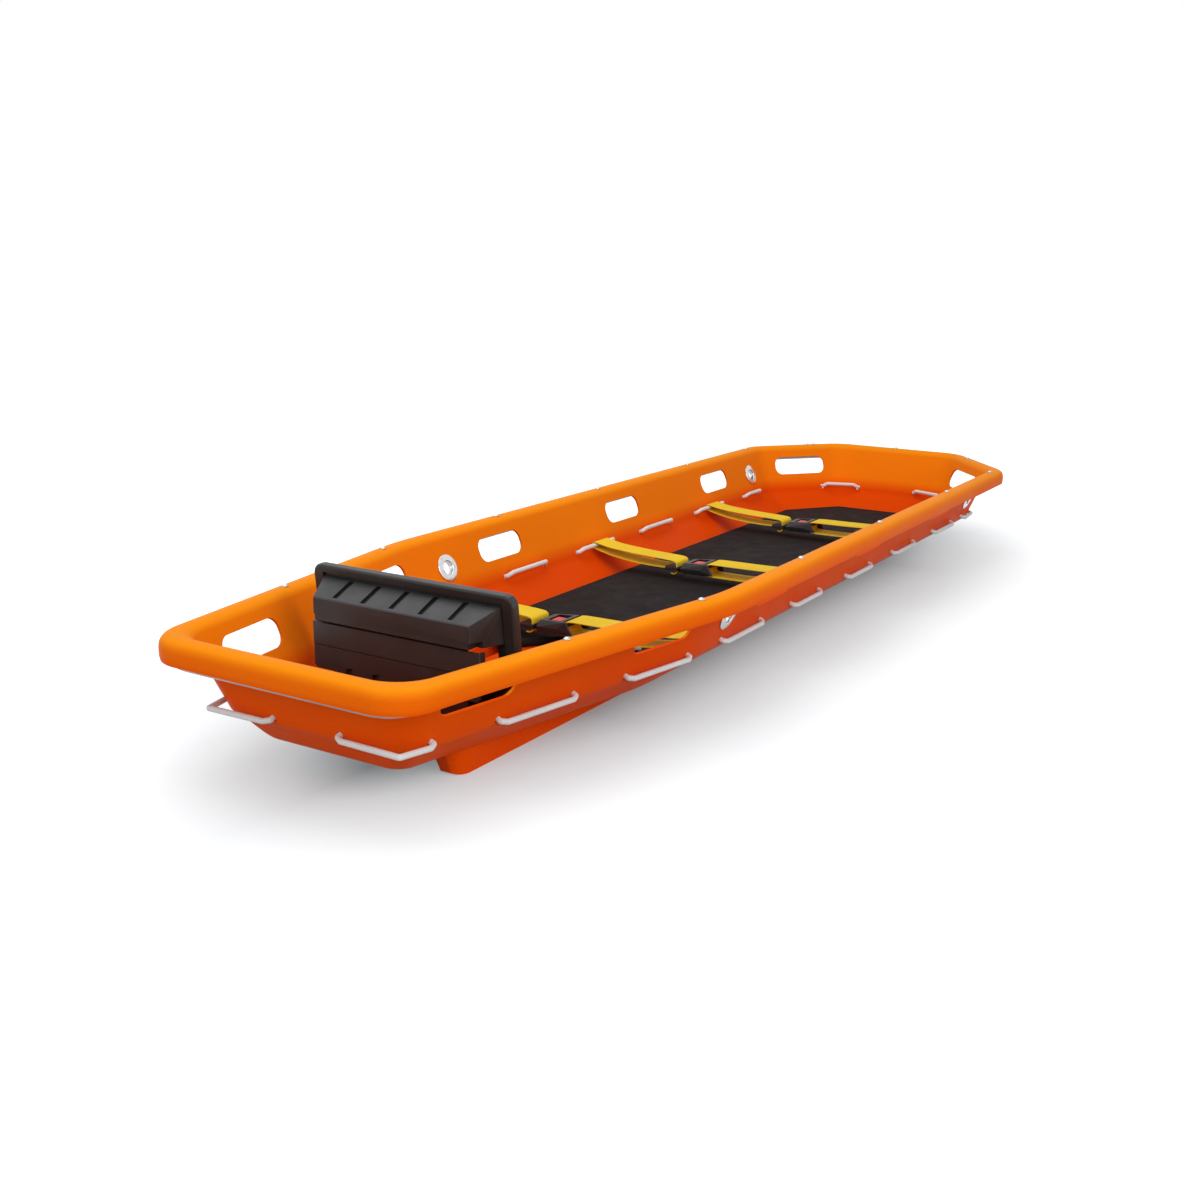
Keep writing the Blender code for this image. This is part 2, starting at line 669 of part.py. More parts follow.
def buckle_body(name, x):
    """Faceted housing: open between its cheeks at the near end, with a bar that the webbing goes round,
    a mouth for the tongue at the far end and a stepped well for the button."""
    corners = []
    for side in (1, -1):
        corners += [(x + side * 0.0275, -0.0235, 0.0738), (x + side * 0.0272, -0.0110, BUCKLE_NEAR_TOP_Z),
                    (x + side * 0.0205, 0.0405, BUCKLE_FAR_TOP_Z), (x + side * 0.0290, 0.0050, 0.0810),
                    (x + side * 0.0265, 0.0455, 0.0790), (x + side * 0.0245, 0.0440, 0.0700),
                    (x + side * 0.0255, 0.0000, 0.0710)]
    bm = bmesh.new()
    for corner in corners:
        bm.verts.new(corner)
    bmesh.ops.convex_hull(bm, input=bm.verts)
    bmesh.ops.dissolve_limit(bm, angle_limit=math.radians(1), verts=bm.verts, edges=bm.edges)
    body = add_object(name, mesh_from(bm, name), black_plastic(), smooth_angle=20)
    edge = body.modifiers.new("edge", "BEVEL")
    edge.width = 0.0009
    edge.segments = 1
    bx, by, button_z = BUTTON_OFFSET
    half_x, half_y = BUTTON_HALF_SIZE
    cuts = bmesh.new()
    add_box(cuts, (x - BUCKLE_CHEEK_X, -0.0300, 0.0600), (x + BUCKLE_CHEEK_X, -0.0045, 0.1000))
    add_box(cuts, (x - 0.0192, 0.0150, 0.0735), (x + 0.0192, 0.0600, 0.0783))
    add_box(cuts, (x - 0.0185, 0.0030, 0.0872), (x + 0.0185, 0.0290, 0.1000))
    boolean(body, add_cutter(name + "_cuts", cuts))
    well = bmesh.new()
    add_box(well, (x + bx - half_x - GAP, by - half_y - GAP, 0.0798),
            (x + bx + half_x + GAP, by + half_y + GAP, 0.0900))
    boolean(body, add_cutter(name + "_well", well))
    bar = bmesh.new()
    add_box(bar, (x - 0.0262, -0.0135, 0.0862), (x + 0.0262, -0.0100, 0.0897))
    boolean(body, add_cutter(name + "_bar", bar), "UNION")
    return body


def press_button(name, x):
    look = material("red_plastic", (0.70, 0.02, 0.02), 0.35)
    bx, by, bz = BUTTON_OFFSET
    half_x, half_y = BUTTON_HALF_SIZE
    bm = bmesh.new()
    add_box(bm, (-half_x, -half_y, -0.0032), (half_x, half_y, 0.0038))
    made = add_object(name, mesh_from(bm, name), look, Matrix.Translation((x + bx, by, bz)))
    edge = made.modifiers.new("edge", "BEVEL")
    edge.width = 0.0010
    edge.segments = 2
    return made


def tongue(name, x):
    """Blade that latches in the buckle, with a frame that the webbing runs through."""
    origin = Vector((x, 0, 0)) + Vector(TONGUE_OFFSET)
    bm = bmesh.new()
    add_box(bm, (-0.0265, 0.0010, -0.0042), (0.0265, 0.0280, 0.0042))
    made = add_object(name, mesh_from(bm, name), black_plastic(), Matrix.Translation(origin))
    edge = made.modifiers.new("edge", "BEVEL")
    edge.width = 0.0016
    edge.segments = 2
    blade = bmesh.new()
    add_box(blade, (x - 0.0180, 0.0200, 0.0740), (x + 0.0180, 0.0540, 0.0778))
    boolean(made, add_cutter(name + "_blade", blade), "UNION")
    slot = bmesh.new()
    add_box(slot, (x - 0.0246, 0.0530, 0.0690), (x + 0.0246, 0.0572, 0.0840))
    boolean(made, add_cutter(name + "_slot", slot))
    return made


def make_belts():
    for index, x in enumerate(BELT_X):
        label = "belt_%d_" % (index + 1)
        far_webbing(label + "left_webbing", x)
        near_webbing(label + "right_webbing", x)
        buckle_body(label + "buckle", x)
        press_button(label + "button", x)
        tongue(label + "tongue", x)


def board_place():
    """The board's frame: X across its thickness towards the head, Z up its face, at its upper edge."""
    return (Matrix.Translation((BOARD_TOP_X, 0, BOARD_TOP_Z))
            @ Matrix.Rotation(-BOARD_LEAN, 4, "Y"))


def make_footrest_board():
    """Upright plate with cut lower corners, a rounded border and a sunk middle on the foot side."""
    height = (BOARD_TOP_Z - BOARD_FOOT_Z) / math.cos(BOARD_LEAN)
    low_half, cut = 0.118, 0.055
    top_radius = 0.014
    half = [(low_half, -height), (BOARD_HALF_WIDTH, -height + cut)]
    for k in range(4):
        angle = math.radians(90 * k / 3)
        half.append((BOARD_HALF_WIDTH - top_radius + top_radius * math.cos(angle),
                     -top_radius + top_radius * math.sin(angle)))
    outline = half + [(-y, z) for y, z in reversed(half)]
    upright = Matrix(((0, 0, 1, 0), (1, 0, 0, 0), (0, 1, 0, 0), (0, 0, 0, 1)))
    bm = bmesh.new()
    add_prism(bm, outline, upright, 0.0, BOARD_THICKNESS)
    board = add_object("footrest_board", mesh_from(bm, "footrest_board"), black_plastic(), board_place())
    edge = board.modifiers.new("edge", "BEVEL")
    edge.width = 0.0035
    edge.segments = 3
    edge.limit_method = "ANGLE"
    edge.angle_limit = math.radians(50)
    sunk = bmesh.new()
    border, top_border = 0.018, 0.010
    half = [(low_half - 0.02, -height + 0.012), (BOARD_HALF_WIDTH - border, -height + cut + 0.006),
            (BOARD_HALF_WIDTH - border, -top_border)]
    outline = half + [(-y, z) for y, z in reversed(half)]
    add_prism(sunk, outline, board_place() @ upright, -0.010, 0.004)
    bmesh.ops.recalc_face_normals(sunk, faces=sunk.faces)
    boolean(board, add_cutter("board_recess", sunk))
    window = bmesh.new()
    add_box(window, (-0.850, -0.138, 0.125), (-0.740, 0.138, 0.1715))
    boolean(board, add_cutter("board_window", window))
    return board


def make_footrest_housing():
    """Moulded cover on the board: a bevelled top with grooves, an upright face and slanted ends."""
    def section(low_x, high_x, half_width, low, high):
        return [(low_x, -half_width, low), (low_x, half_width, low),
                (high_x, half_width, high), (high_x, -half_width, high)]
    bm = bmesh.new()
    rows = loft(bm, [section(-0.8585, -0.8585, 0.1320, 0.1718, 0.2015),
                     section(-0.8572, -0.8567, 0.1328, 0.1705, 0.2032),
                     section(-0.8075, -0.8122, 0.1515, 0.1705, 0.2225)])
    bm.faces.new(rows[0])
    bm.faces.new(rows[-1])
    mesh = mesh_from(bm, "footrest_housing")
    housing = add_object("footrest_housing", mesh, black_plastic(), smooth_angle=25)
    grooves = bmesh.new()
    start, end = Vector((-0.8530, 0, 0.2045)), Vector((-0.8165, 0, 0.2195))
    for k in range(HOUSING_RIBS):
        y = (k - (HOUSING_RIBS - 1) / 2) * HOUSING_RIB_PITCH
        along = (end - start).normalized()
        up = Vector((0, 1, 0)).cross(along) * -1
        place = Matrix((along, Vector((0, 1, 0)), along.cross(Vector((0, 1, 0))))).transposed().to_4x4()
        place = Matrix.Translation(start + Vector((0, y, 0))) @ place
        length = (end - start).length
        outline = [(0, -0.0045), (length, -0.0045), (length, 0.0045), (0, 0.0045)]
        add_prism(grooves, outline, place, -0.0035, 0.012)
    bmesh.ops.recalc_face_normals(grooves, faces=grooves.faces)
    boolean(housing, add_cutter("housing_grooves", grooves))
    hollow = bmesh.new()
    add_box(hollow, (-0.8520, -0.1270, 0.1600), (-0.8150, 0.1270, 0.1900))
    boolean(housing, add_cutter("housing_hollow", hollow))
    notches = bmesh.new()
    for side in (1, -1):
        near, far = sorted((side * 0.1300, side * 0.1600))
        add_box(notches, (-0.8700, near, 0.1600), (-0.8390, far, 0.1795))
    boolean(housing, add_cutter("housing_notches", notches))
    return housing


def make_footrest_base():
    """Floor plate and riser in one, with gussets behind the riser."""
    bm = bmesh.new()
    add_box(bm, (-0.8600, -0.0720, FLOOR_Z + GAP), (-0.7740, 0.0720, 0.0475))
    base = add_object("footrest_base", mesh_from(bm, "footrest_base"), black_plastic(), smooth_angle=25)
    riser = bmesh.new()
    add_box(riser, (-0.8415, -0.1150, 0.0560), (-0.8375, 0.1150, 0.1700))
    boolean(base, add_cutter("base_riser", riser), "UNION")
    webs = bmesh.new()
    upright = Matrix(((1, 0, 0, 0), (0, 0, 1, 0), (0, 1, 0, 0), (0, 0, 0, 1)))
    for y in (-0.066, 0.0, 0.066):
        outline = [(-0.8395, FLOOR_Z + 0.002), (-0.7940, FLOOR_Z + 0.002), (-0.7990, 0.0620),
                   (-0.8120, 0.1650), (-0.8395, 0.1690)]
        add_prism(webs, outline, Matrix.Translation((0, y, 0)) @ upright, -0.002, 0.002)
    bmesh.ops.recalc_face_normals(webs, faces=webs.faces)
    boolean(base, add_cutter("base_gussets", webs), "UNION")
    return base


def make_footrest_panels():
    """Lower panel with hook slots along its edge, and the latch plate that pulls out over it."""
    upright = Matrix(((0, 0, 1, 0), (1, 0, 0, 0), (0, 1, 0, 0), (0, 0, 0, 1)))
    half = [(0.1415, 0.1328), (0.1415, 0.1040), (0.1375, 0.1000), (0.0960, 0.0990)]
    for y in (0.0860, 0.0390, -0.0080):
        half += [(y, 0.0985), (y - 0.0010, 0.1060), (y - 0.0120, 0.1080), (y - 0.0130, 0.0985)]
    outline = half + [(-0.0300, 0.0985), (-0.1375, 0.1000), (-0.1415, 0.1040), (-0.1415, 0.1328)]
    bm = bmesh.new()
    add_prism(bm, outline, Matrix.Translation((-0.8495, 0, 0)) @ upright, 0.0, 0.0045)
    mesh = mesh_from(bm, "footrest_lower_panel")
    add_object("footrest_lower_panel", mesh, black_plastic(), smooth_angle=25)
    plate = bmesh.new()
    add_box(plate, (-0.0020, -0.1425, -0.0163), (0.0018, 0.1425, 0.0163))
    made = add_object("footrest_latch_plate", mesh_from(plate, "footrest_latch_plate"), black_plastic(),
                      Matrix.Translation((LATCH_PLATE_X, 0, 0.1497)), smooth_angle=25)
    edge = made.modifiers.new("edge", "BEVEL")
    edge.width = 0.0008
    edge.segments = 1
    ends = bmesh.new()
    for side in (1, -1):
        y = side * 0.1406
        add_box(ends, (LATCH_PLATE_X - 0.0012, y - 0.0019, 0.1340),
                (LATCH_PLATE_X + 0.0100, y + 0.0019, 0.1655))
    boolean(made, add_cutter("latch_plate_ends", ends), "UNION")


def main():
    clear_scene()
    rivet_drill()
    make_shell()
    make_rim_tube()
    make_rope()
    make_eyelets()
    make_rivets()
    make_mattress()
    make_belts()
    make_footrest_board()
    make_footrest_housing()
    make_footrest_base()
    make_footrest_panels()


main()
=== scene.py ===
"""Looks of a basket stretcher: finishes, woven belts, lacing rope, foam mat and the photograph's camera.

Metres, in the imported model's frame: +X from the foot end to the head end, +Y to the patient's left, +Z up.
"""

import math

import bmesh
import bpy
from mathutils import Matrix, Vector


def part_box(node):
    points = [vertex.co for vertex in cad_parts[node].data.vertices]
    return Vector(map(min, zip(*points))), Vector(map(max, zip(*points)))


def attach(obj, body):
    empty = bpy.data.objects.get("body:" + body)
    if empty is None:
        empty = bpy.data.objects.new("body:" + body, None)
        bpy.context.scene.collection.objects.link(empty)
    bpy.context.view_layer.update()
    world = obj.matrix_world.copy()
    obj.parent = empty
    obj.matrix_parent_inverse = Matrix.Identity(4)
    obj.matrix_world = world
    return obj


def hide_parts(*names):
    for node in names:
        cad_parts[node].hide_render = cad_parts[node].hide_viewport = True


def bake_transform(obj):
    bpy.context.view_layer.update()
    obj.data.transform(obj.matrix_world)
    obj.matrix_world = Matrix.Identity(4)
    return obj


# Camera, solved from the photograph's own edges. Size and focal length are in pixels, angles in degrees.
PHOTO_SIZE = 1184
PHOTO_FOCAL = 1362.6
CAMERA_PLACE = (-2.18166, -1.13564, 0.67176)
CAMERA_PITCH, CAMERA_YAW, CAMERA_ROLL = 14.322, 31.824, 0.66
SENSOR_WIDTH = 36.0
CAMERA_RANGE = 50

# Rim crest, seen from above, as in the solids.
CREST_END_X = 1.066
CREST_SIDE_Y = 0.300
TAPER_START_X = -0.475
FOOT_CORNER_Y = 0.195
HEAD_SIDE_CORNER_X = 0.886
HEAD_END_CORNER_Y = 0.150
HEAD_SIDE_CORNER = 3
CORNER_RADII = (0.060, 0.50, 0.060, 0.070)
CORNER_STEPS = (24, 8, 12, 12)
STRAIGHT_STEPS = (0, 12, 24, 6, 0)
SMALLEST_RADIUS = 0.025
RADIUS_LOSS = 0.40

# Section of the shell, as in the solids. The roll starts at an angle in degrees.
SHELL_THICKNESS = 0.004
FLOOR_Z = 0.043
CREASE_Z, CREASE_INSET = 0.0870, 0.0543
BOWL_LEVELS = (
    (FLOOR_Z, (0.100, 0.106, 0.118, 0.117, 0.117)),
    (0.0445, (0.095, 0.101, 0.112, 0.111, 0.111)),
    (0.0500, (0.087, 0.093, 0.103, 0.102, 0.102)),
    (0.0755, (0.0665,) * 5),
    (0.0810, (0.0590,) * 5),
    (CREASE_Z, (CREASE_INSET,) * 5),
)
BOWL_STEPS = 4
WALL_LEAN = 0.3989
WALL_STEPS = 3
ROLL_RADIUS = 0.0195
ROLL_Z = 0.1705
ROLL_START = 21.75
ROLL_STEPS = 28
ROLL_SQUARENESS = 2.7
SKIRT = ((-0.0195, 0.1682), (-0.0194, 0.1655), (-0.0191, 0.1628), (-0.0185, 0.1600))
FOOT_DROP_START_X, FOOT_DROP_LENGTH = -1.020, 0.040
SKIRT_FOOT_DROP = 0.0030

# Tube in the rim. It sits a little higher than in the solids, apart from the foot end.
TUBE_RADIUS = 0.0145
TUBE_Z = 0.1695
TUBE_FOOT_DROP = 0.0070
TUBE_SIDES = 32

# Runners under the floor.
RUNNER_MID_Y = 0.101
RUNNER_FOOT_X, RUNNER_HEAD_X = -0.868, 0.790
RUNNER_HALF_WIDTH = 0.021
RUNNER_DRAFT = 0.006
RUNNER_NOSE = 0.023
RUNNER_NOSE_LIFT = 0.003
RUNNER_NOSE_TAPER = 0.0155
RUNNER_NOSE_SLOPE = 0.50
RUNNER_WALL = 0.004
RUNNER_STATIONS = 10
RUNNER_TOP_Z = FLOOR_Z - 0.0015
CHANNEL_TOP_Z = FLOOR_Z + 0.010

# Openings in the wall. Each cut reaches inwards and outwards from the middle of the wall.
HAND_HOLE_Z = 0.1443
HAND_HOLE_SIZE = (0.1265, 0.0430)
HAND_HOLE_RADIUS = 0.018
HAND_HOLE_STEPS = 12
HAND_HOLE_CUT = (-0.016, 0.017)
SIDE_HAND_HOLES_X = (-0.916, -0.567, -0.2325, 0.197, 0.611)
CHAMFER_HAND_HOLE_X = 0.952
CHAMFER_HAND_HOLE_LENGTH = 0.133
EYELET_HOLE_RADIUS = 0.0156
EYELET_HOLE_CUT = (-0.010, 0.010)
ROPE_HOLE_RADIUS = 0.0053
ROPE_HOLE_SIDES = 24
ROPE_HOLE_CUT = (-0.008, 0.008)

# Lacing rope. Its runs inside the wall stand further off and lower than in the solids.
ROPE_Z = 0.0925
ROPE_RADIUS = 0.004
ROPE_STANDOFF = 0.0115
ROPE_PASSAGE = 0.0068
ROPE_LEAD = 0.0085
ROPE_KNEE_RADIUS = 0.0024
ROPE_INNER_STANDOFF = 0.0145
ROPE_INNER_DROP = 0.0030
ROPE_KNEE_STEPS = 8
ROPE_KNEE_SHARE = 0.48
FOOT_ROPE_HOLE_Y = 0.056
HEAD_ROPE_HOLE_Y = 0.072
CHAMFER_ROPE_HOLE_X = 0.981
SIDE_ROPE_HOLES_X = (-0.974, -0.864, -0.727, -0.622, -0.485, -0.385, -0.246, -0.125,
                     -0.008, 0.117, 0.236, 0.359, 0.480, 0.603, 0.726, 0.803)
FOOT_KNEE = (-1.029, 0.158)
HEAD_KNEE_DIRECTION = (0.4, 0.9)
HEAD_KNEE_STANDOFF = ROPE_STANDOFF - 0.003
ROPE_SIDES = 14
ROPE_STEP = 0.010
ROPE_STRANDS = 8
ROPE_PICK = 0.0036

# Grommets and rivets.
EYELET_X = (-0.3935, 0.7955)
EYELET_Z = 0.1345
EYELET_FLANGE_RADIUS = 0.0240
EYELET_BARREL_RADIUS = 0.0150
EYELET_BORE_RADIUS = 0.0116
EYELET_LIP = 0.0013
EYELET_LIP_RADIUS = EYELET_LIP * 0.75
EYELET_LIP_STEPS = 6
EYELET_MOUTH_RADIUS = 0.0017
EYELET_MOUTH_RISE = 0.0012
EYELET_MOUTH_STEPS = 5
RIVET_HEAD_RADIUS = 0.0050
RIVET_SHANK_RADIUS = 0.0023
RIVET_SHANK_LENGTH = 0.008
RIVET_DIMPLE = [(0.0, 0.0022), (0.0010, 0.0023), (0.0013, 0.0030)]
RIVET_DOME_Z, RIVET_DOME_RADIUS = -0.0029, 0.0063
RIVET_DOME_DEGREES = (76, 31)
RIVET_DOME_STEPS = 7
RIVET_COUNT = 16
TURN_STEPS = 48
GAP = 0.0003

# Mattress, and the label near its foot end. The notch has an X, an inner Y and an outer Y.
MAT_THICKNESS = 0.012
MAT_HALF_WIDTH = 0.180
MAT_FOOT_X, MAT_HEAD_X = -0.470, 0.940
MAT_NOTCH = (-0.408, 0.026, 0.070)
MAT_FOOT_SLANT = 0.006
MAT_FOOT_CORNER = (0.020, 0.022)
MAT_HEAD_CORNER = (0.820, 0.092)
MAT_EDGE_WIDTH, MAT_EDGE_SEGMENTS = 0.0045, 4
LABEL_CORNER = (-0.402, -0.123)
LABEL_TURN = math.radians(28)
LABEL_SIZE = (0.055, 0.035)
LABEL_THICKNESS = 0.0006

# Belts. The webbing is thinner just inside its selvedges, which start at a share of its half width.
BELT_X = (-0.421, 0.062, 0.545)
WEBBING_WIDTH = 0.048
WEBBING_THICKNESS = 0.0016
WEBBING_LOOP_RADIUS = 0.0062
WEBBING_LOOP_STEPS = 10
WEBBING_PATH_STEP = 0.004
SELVEDGE_START = 0.86
SELVEDGE_THIN = 0.85
SELVEDGE_ROUND = (0.2, 0.75)
WEBBING_STRANDS = 28
WEBBING_PICK = 0.0017

# Softened edges of the black mouldings.
FITTING_EDGE = 0.0008
FOOTREST_EDGES = {"board": 0.0016, "housing": 0.0022, "lower_panel": 0.0010, "base": 0.0010}
FOOTREST_PIECES = ("board", "housing", "base", "lower_panel", "latch_plate")
SOFT_SEGMENTS = 2
SOFT_ANGLE = math.radians(35.0)

# The shell's orange, and the heights between which it turns from one to the next. The yellower orange is
# painted light on upward faces; the bowl orange is painted shade low in the bowl.
ORANGE = (0.92, 0.105, 0.003)
SHADE_SIDE_ORANGE = (0.92, 0.082, 0.0015)
LIT_SIDE_ORANGE = (0.96, 0.285, 0.006)
BOWL_SHADE_ORANGE = (0.40, 0.026, 0.001)
LIT_SIDE_Z = (0.090, 0.118)
CUT_EDGE_Z = (0.150, 0.158)
BOWL_SHADE_Z = (0.085, 0.112)
FLOOR_DOTS_Z = (0.0455, 0.0500)

# The two black plastics: name, colour and roughness.
NYLON = ("black_nylon", (0.012, 0.012, 0.013), 0.40)
HOUSING = ("black_housing", (0.013, 0.0125, 0.0125), 0.38)

# Studio: level of the world's light, and the floor's own light near the object and away from it. Its weak,
# less red light near the object is a painted shadow that also hides the orange bounce.
WORLD_LEVEL = 0.38
FLOOR_SIZE = 40
FLOOR_COLOUR = (0.43, 0.45, 0.46)
FLOOR_MIDDLE_X = 0.04
FLOOR_REACH = (0.95, 0.10)
FLOOR_TAPER = (0.60, 0.35)
FLOOR_GLOW = ((0.00, (0.060, 0.100, 0.105)), (0.14, (0.37, 0.41, 0.42)), (0.32, (0.62, 0.63, 0.64)),
              (0.62, (1.0, 1.0, 1.0)))

# Lamps: name, place, size and power.
LAMP_TARGET = (0.0, 0.0, 0.1)
LAMPS = (("overhead", (-0.2, 0.7, 2.5), (3.0, 2.2), 34),
         ("near_side", (-1.2, -2.8, 1.5), (3.2, 1.8), 46),
         ("foot_side", (-3.2, 0.2, 1.2), (1.8, 1.4), 18))

SMOOTH_ANGLE = math.radians(40)
SHELL_SMOOTH_ANGLE = math.radians(28)
MERGE_DISTANCE = 0.00001
TINY = 1e-6

# Places of a colour Mix node's sockets.
MIX_FIRST, MIX_SECOND, MIX_RESULT = 6, 7, 2


class Nodes:
    """A node tree, with short calls to add and join nodes."""

    def __init__(self, tree):
        self.tree = tree

    def set(self, node, socket, value):
        """Gives a socket a value, or joins it to another node's output."""
        if isinstance(value, bpy.types.NodeSocket):
            self.tree.links.new(value, node.inputs[socket])
        else:
            node.inputs[socket].default_value = value

    def add(self, kind, inputs=(), **settings):
        node = self.tree.nodes.new("ShaderNode" + kind)
        for key, value in settings.items():
            setattr(node, key, value)
        for socket, value in dict(inputs).items():
            self.set(node, socket, value)
        return node

    def math(self, operation, first, second=0.0):
        return self.add("Math", {0: first, 1: second}, operation=operation).outputs[0]

    def remap(self, value, low, high, to_low, to_high):
        """Moves a value from between low and high to between to_low and to_high."""
        made = self.add("MapRange", {"Value": value, "From Min": low, "From Max": high,
                                     "To Min": to_low, "To Max": to_high})
        return made.outputs["Result"]

    def share(self, value, low, high):
        """0 up to low, and 1 from high on."""
        return self.remap(value, low, high, 0.0, 1.0)

    def blend(self, share, first, second, mode="MIX"):
        made = self.add("Mix", data_type="RGBA", blend_type=mode)
        self.set(made, "Factor", share)
        for socket, value in ((MIX_FIRST, first), (MIX_SECOND, second)):
            self.set(made, socket, (*value, 1.0) if isinstance(value, tuple) else value)
        return made.outputs[MIX_RESULT]


class Material(Nodes):
    """A Principled material. A viewer that reads no nodes shows its plain colour and roughness."""

    def __init__(self, name, colour, roughness, metallic=0.0):
        self.material = bpy.data.materials.new(name)
        self.material.use_nodes = True
        super().__init__(self.material.node_tree)
        self.shader = self.tree.nodes["Principled BSDF"]
        self.set(self.shader, "Base Color", (*colour, 1.0))
        self.set(self.shader, "Roughness", roughness)
        self.set(self.shader, "Metallic", metallic)

    def place(self, stretch=(1, 1, 1)):
        """Object coordinates in metres, stretched."""
        found = self.add("TexCoord").outputs["Object"]
        return self.add("Mapping", {"Vector": found, "Scale": stretch}).outputs[0]

    def noise(self, scale, detail, stretch=(1, 1, 1), roughness=0.5):
        made = self.add("TexNoise", {"Vector": self.place(stretch), "Scale": scale, "Detail": detail,
                                     "Roughness": roughness})
        return made.outputs["Fac"]

    def bump(self, height, distance, strength, under=None):
        made = self.add("Bump", {"Height": height, "Distance": distance, "Strength": strength})
        if under is not None:
            self.set(made, "Normal", under)
        return made.outputs[0]

    def finish(self, colour, roughness, normal):
        for socket, value in (("Base Color", colour), ("Roughness", roughness), ("Normal", normal)):
            self.set(self.shader, socket, value)
        return self.material


def orange_plastic():
    """Satin polyethylene with a moulded grain; painted light makes its upward faces yellower, and painted
    shade makes it darker low in the bowl.
    """
    n = Material("orange_polyethylene", ORANGE, 0.40)
    n.set(n.shader, "Specular IOR Level", 0.015)
    n.set(n.shader, "Specular Tint", (1.0, 0.75, 0.25, 1.0))
    height = n.add("SeparateXYZ", {0: n.place()}).outputs["Z"]
    upward = n.add("SeparateXYZ", {0: n.add("NewGeometry").outputs["Normal"]}).outputs["Z"]
    cloudy = n.remap(n.noise(2.6, 4.0), 0.35, 0.65, -0.05, 0.05)
    # Painted light: upward faces above the crease are lighter and yellower, as if lit from above; the cut
    # faces of the hand holes are left out of it.
    painted_lit_side = n.math("MULTIPLY", n.share(upward, -0.40, 0.85), n.share(height, *LIT_SIDE_Z))
    cut_edge = n.math("MULTIPLY", n.share(upward, 0.70, 0.90), n.remap(height, *CUT_EDGE_Z, 1.0, 0.0))
    painted_lit_side = n.math("SUBTRACT", painted_lit_side, cut_edge)
    colour = n.blend(n.math("ADD", painted_lit_side, cloudy), SHADE_SIDE_ORANGE, LIT_SIDE_ORANGE)
    # Painted shade: upward faces low in the bowl turn darker.
    painted_bowl_shade = n.math("MULTIPLY", n.share(upward, 0.0, 0.30), n.remap(height, *BOWL_SHADE_Z, 0.30, 0.0))
    colour = n.blend(painted_bowl_shade, colour, BOWL_SHADE_ORANGE)
    speckle = n.remap(n.noise(420.0, 2.0), 0.30, 0.42, 0.94, 1.0)
    speckles = n.add("CombineColor", {0: speckle, 1: speckle, 2: speckle}).outputs[0]
    colour = n.blend(1.0, colour, speckles, "MULTIPLY")
    rubbed = n.share(n.noise(14.0, 8.0, (1.0, 3.0, 3.0), 0.7), 0.55, 0.75)
    satin = n.remap(n.noise(9.0, 5.0), 0.3, 0.7, 0.34, 0.44)
    roughness = n.math("ADD", satin, n.math("MULTIPLY", rubbed, 0.10))
    dots = n.add("TexVoronoi", {"Vector": n.place(), "Scale": 230.0}).outputs["Distance"]
    on_floor = n.remap(height, *FLOOR_DOTS_Z, 1.0, 0.0)
    dotted = n.math("MULTIPLY", n.remap(dots, 0.15, 0.45, 1.0, 0.0), on_floor)
    grain = n.bump(n.noise(1400.0, 2.0), 0.00012, 0.5)
    wavy = n.bump(n.noise(11.0, 3.0), 0.0016, 0.30, grain)
    return n.finish(colour, roughness, n.bump(dotted, 0.0004, 0.8, wavy))


def black_plastic(name, colour, roughness):
    """Injection moulded nylon: eroded grain, faint flow marks and edges rubbed a little paler."""
    n = Material(name, colour, roughness)
    n.set(n.shader, "Specular IOR Level", 0.36)
    pale = tuple(channel * 2.4 + 0.006 for channel in colour)
    worn = n.remap(n.noise(55.0, 6.0, (1, 1, 1), 0.65), 0.58, 0.78, 0.0, 0.7)
    edge = n.remap(n.add("NewGeometry").outputs["Pointiness"], 0.52, 0.62, 0.0, 0.5)
    tint = n.blend(n.math("MAXIMUM", n.math("MULTIPLY", worn, 0.35), edge), colour, pale)
    rough = n.remap(n.noise(24.0, 5.0), 0.3, 0.7, roughness - 0.05, roughness + 0.10)
    grain = n.bump(n.noise(1100.0, 3.0), 0.00018, 0.8)
    flow = n.bump(n.noise(18.0, 2.0, (1, 0.4, 1)), 0.0008, 0.15, grain)
    return n.finish(tint, rough, flow)


def red_plastic():
    """Glossy button plastic with a faint mottle."""
    n = Material("red_button", (0.74, 0.016, 0.010), 0.28)
    n.set(n.shader, "Specular IOR Level", 0.16)
    mottle = n.share(n.noise(160.0, 4.0), 0.4, 0.7)
    tint = n.blend(mottle, (0.72, 0.014, 0.008), (0.80, 0.026, 0.016))
    rough = n.remap(n.noise(220.0, 5.0), 0.3, 0.7, 0.22, 0.38)
    return n.finish(tint, rough, n.bump(n.noise(900.0, 2.0), 0.0001, 0.5))


def polished_steel():
    """Bright pressed steel with darker handling marks."""
    n = Material("polished_steel", (0.66, 0.66, 0.66), 0.20, 1.0)
    handled = n.share(n.noise(90.0, 4.0), 0.45, 0.70)
    tint = n.blend(handled, (0.70, 0.70, 0.70), (0.52, 0.52, 0.52))
    rough = n.remap(n.noise(260.0, 6.0), 0.35, 0.70, 0.11, 0.30)
    return n.finish(tint, rough, n.bump(n.noise(700.0, 3.0), 0.00006, 0.5))


def rivet_aluminium():
    """Dull aluminium, a little warmer and darker in patches."""
    n = Material("rivet_aluminium", (0.56, 0.54, 0.52), 0.34, 1.0)
    dull = n.share(n.noise(180.0, 5.0), 0.35, 0.70)
    tint = n.blend(dull, (0.60, 0.58, 0.56), (0.44, 0.42, 0.40))
    rough = n.remap(n.noise(300.0, 4.0), 0.3, 0.7, 0.28, 0.44)
    return n.finish(tint, rough, n.bump(n.noise(800.0, 2.0), 0.00005, 0.5))


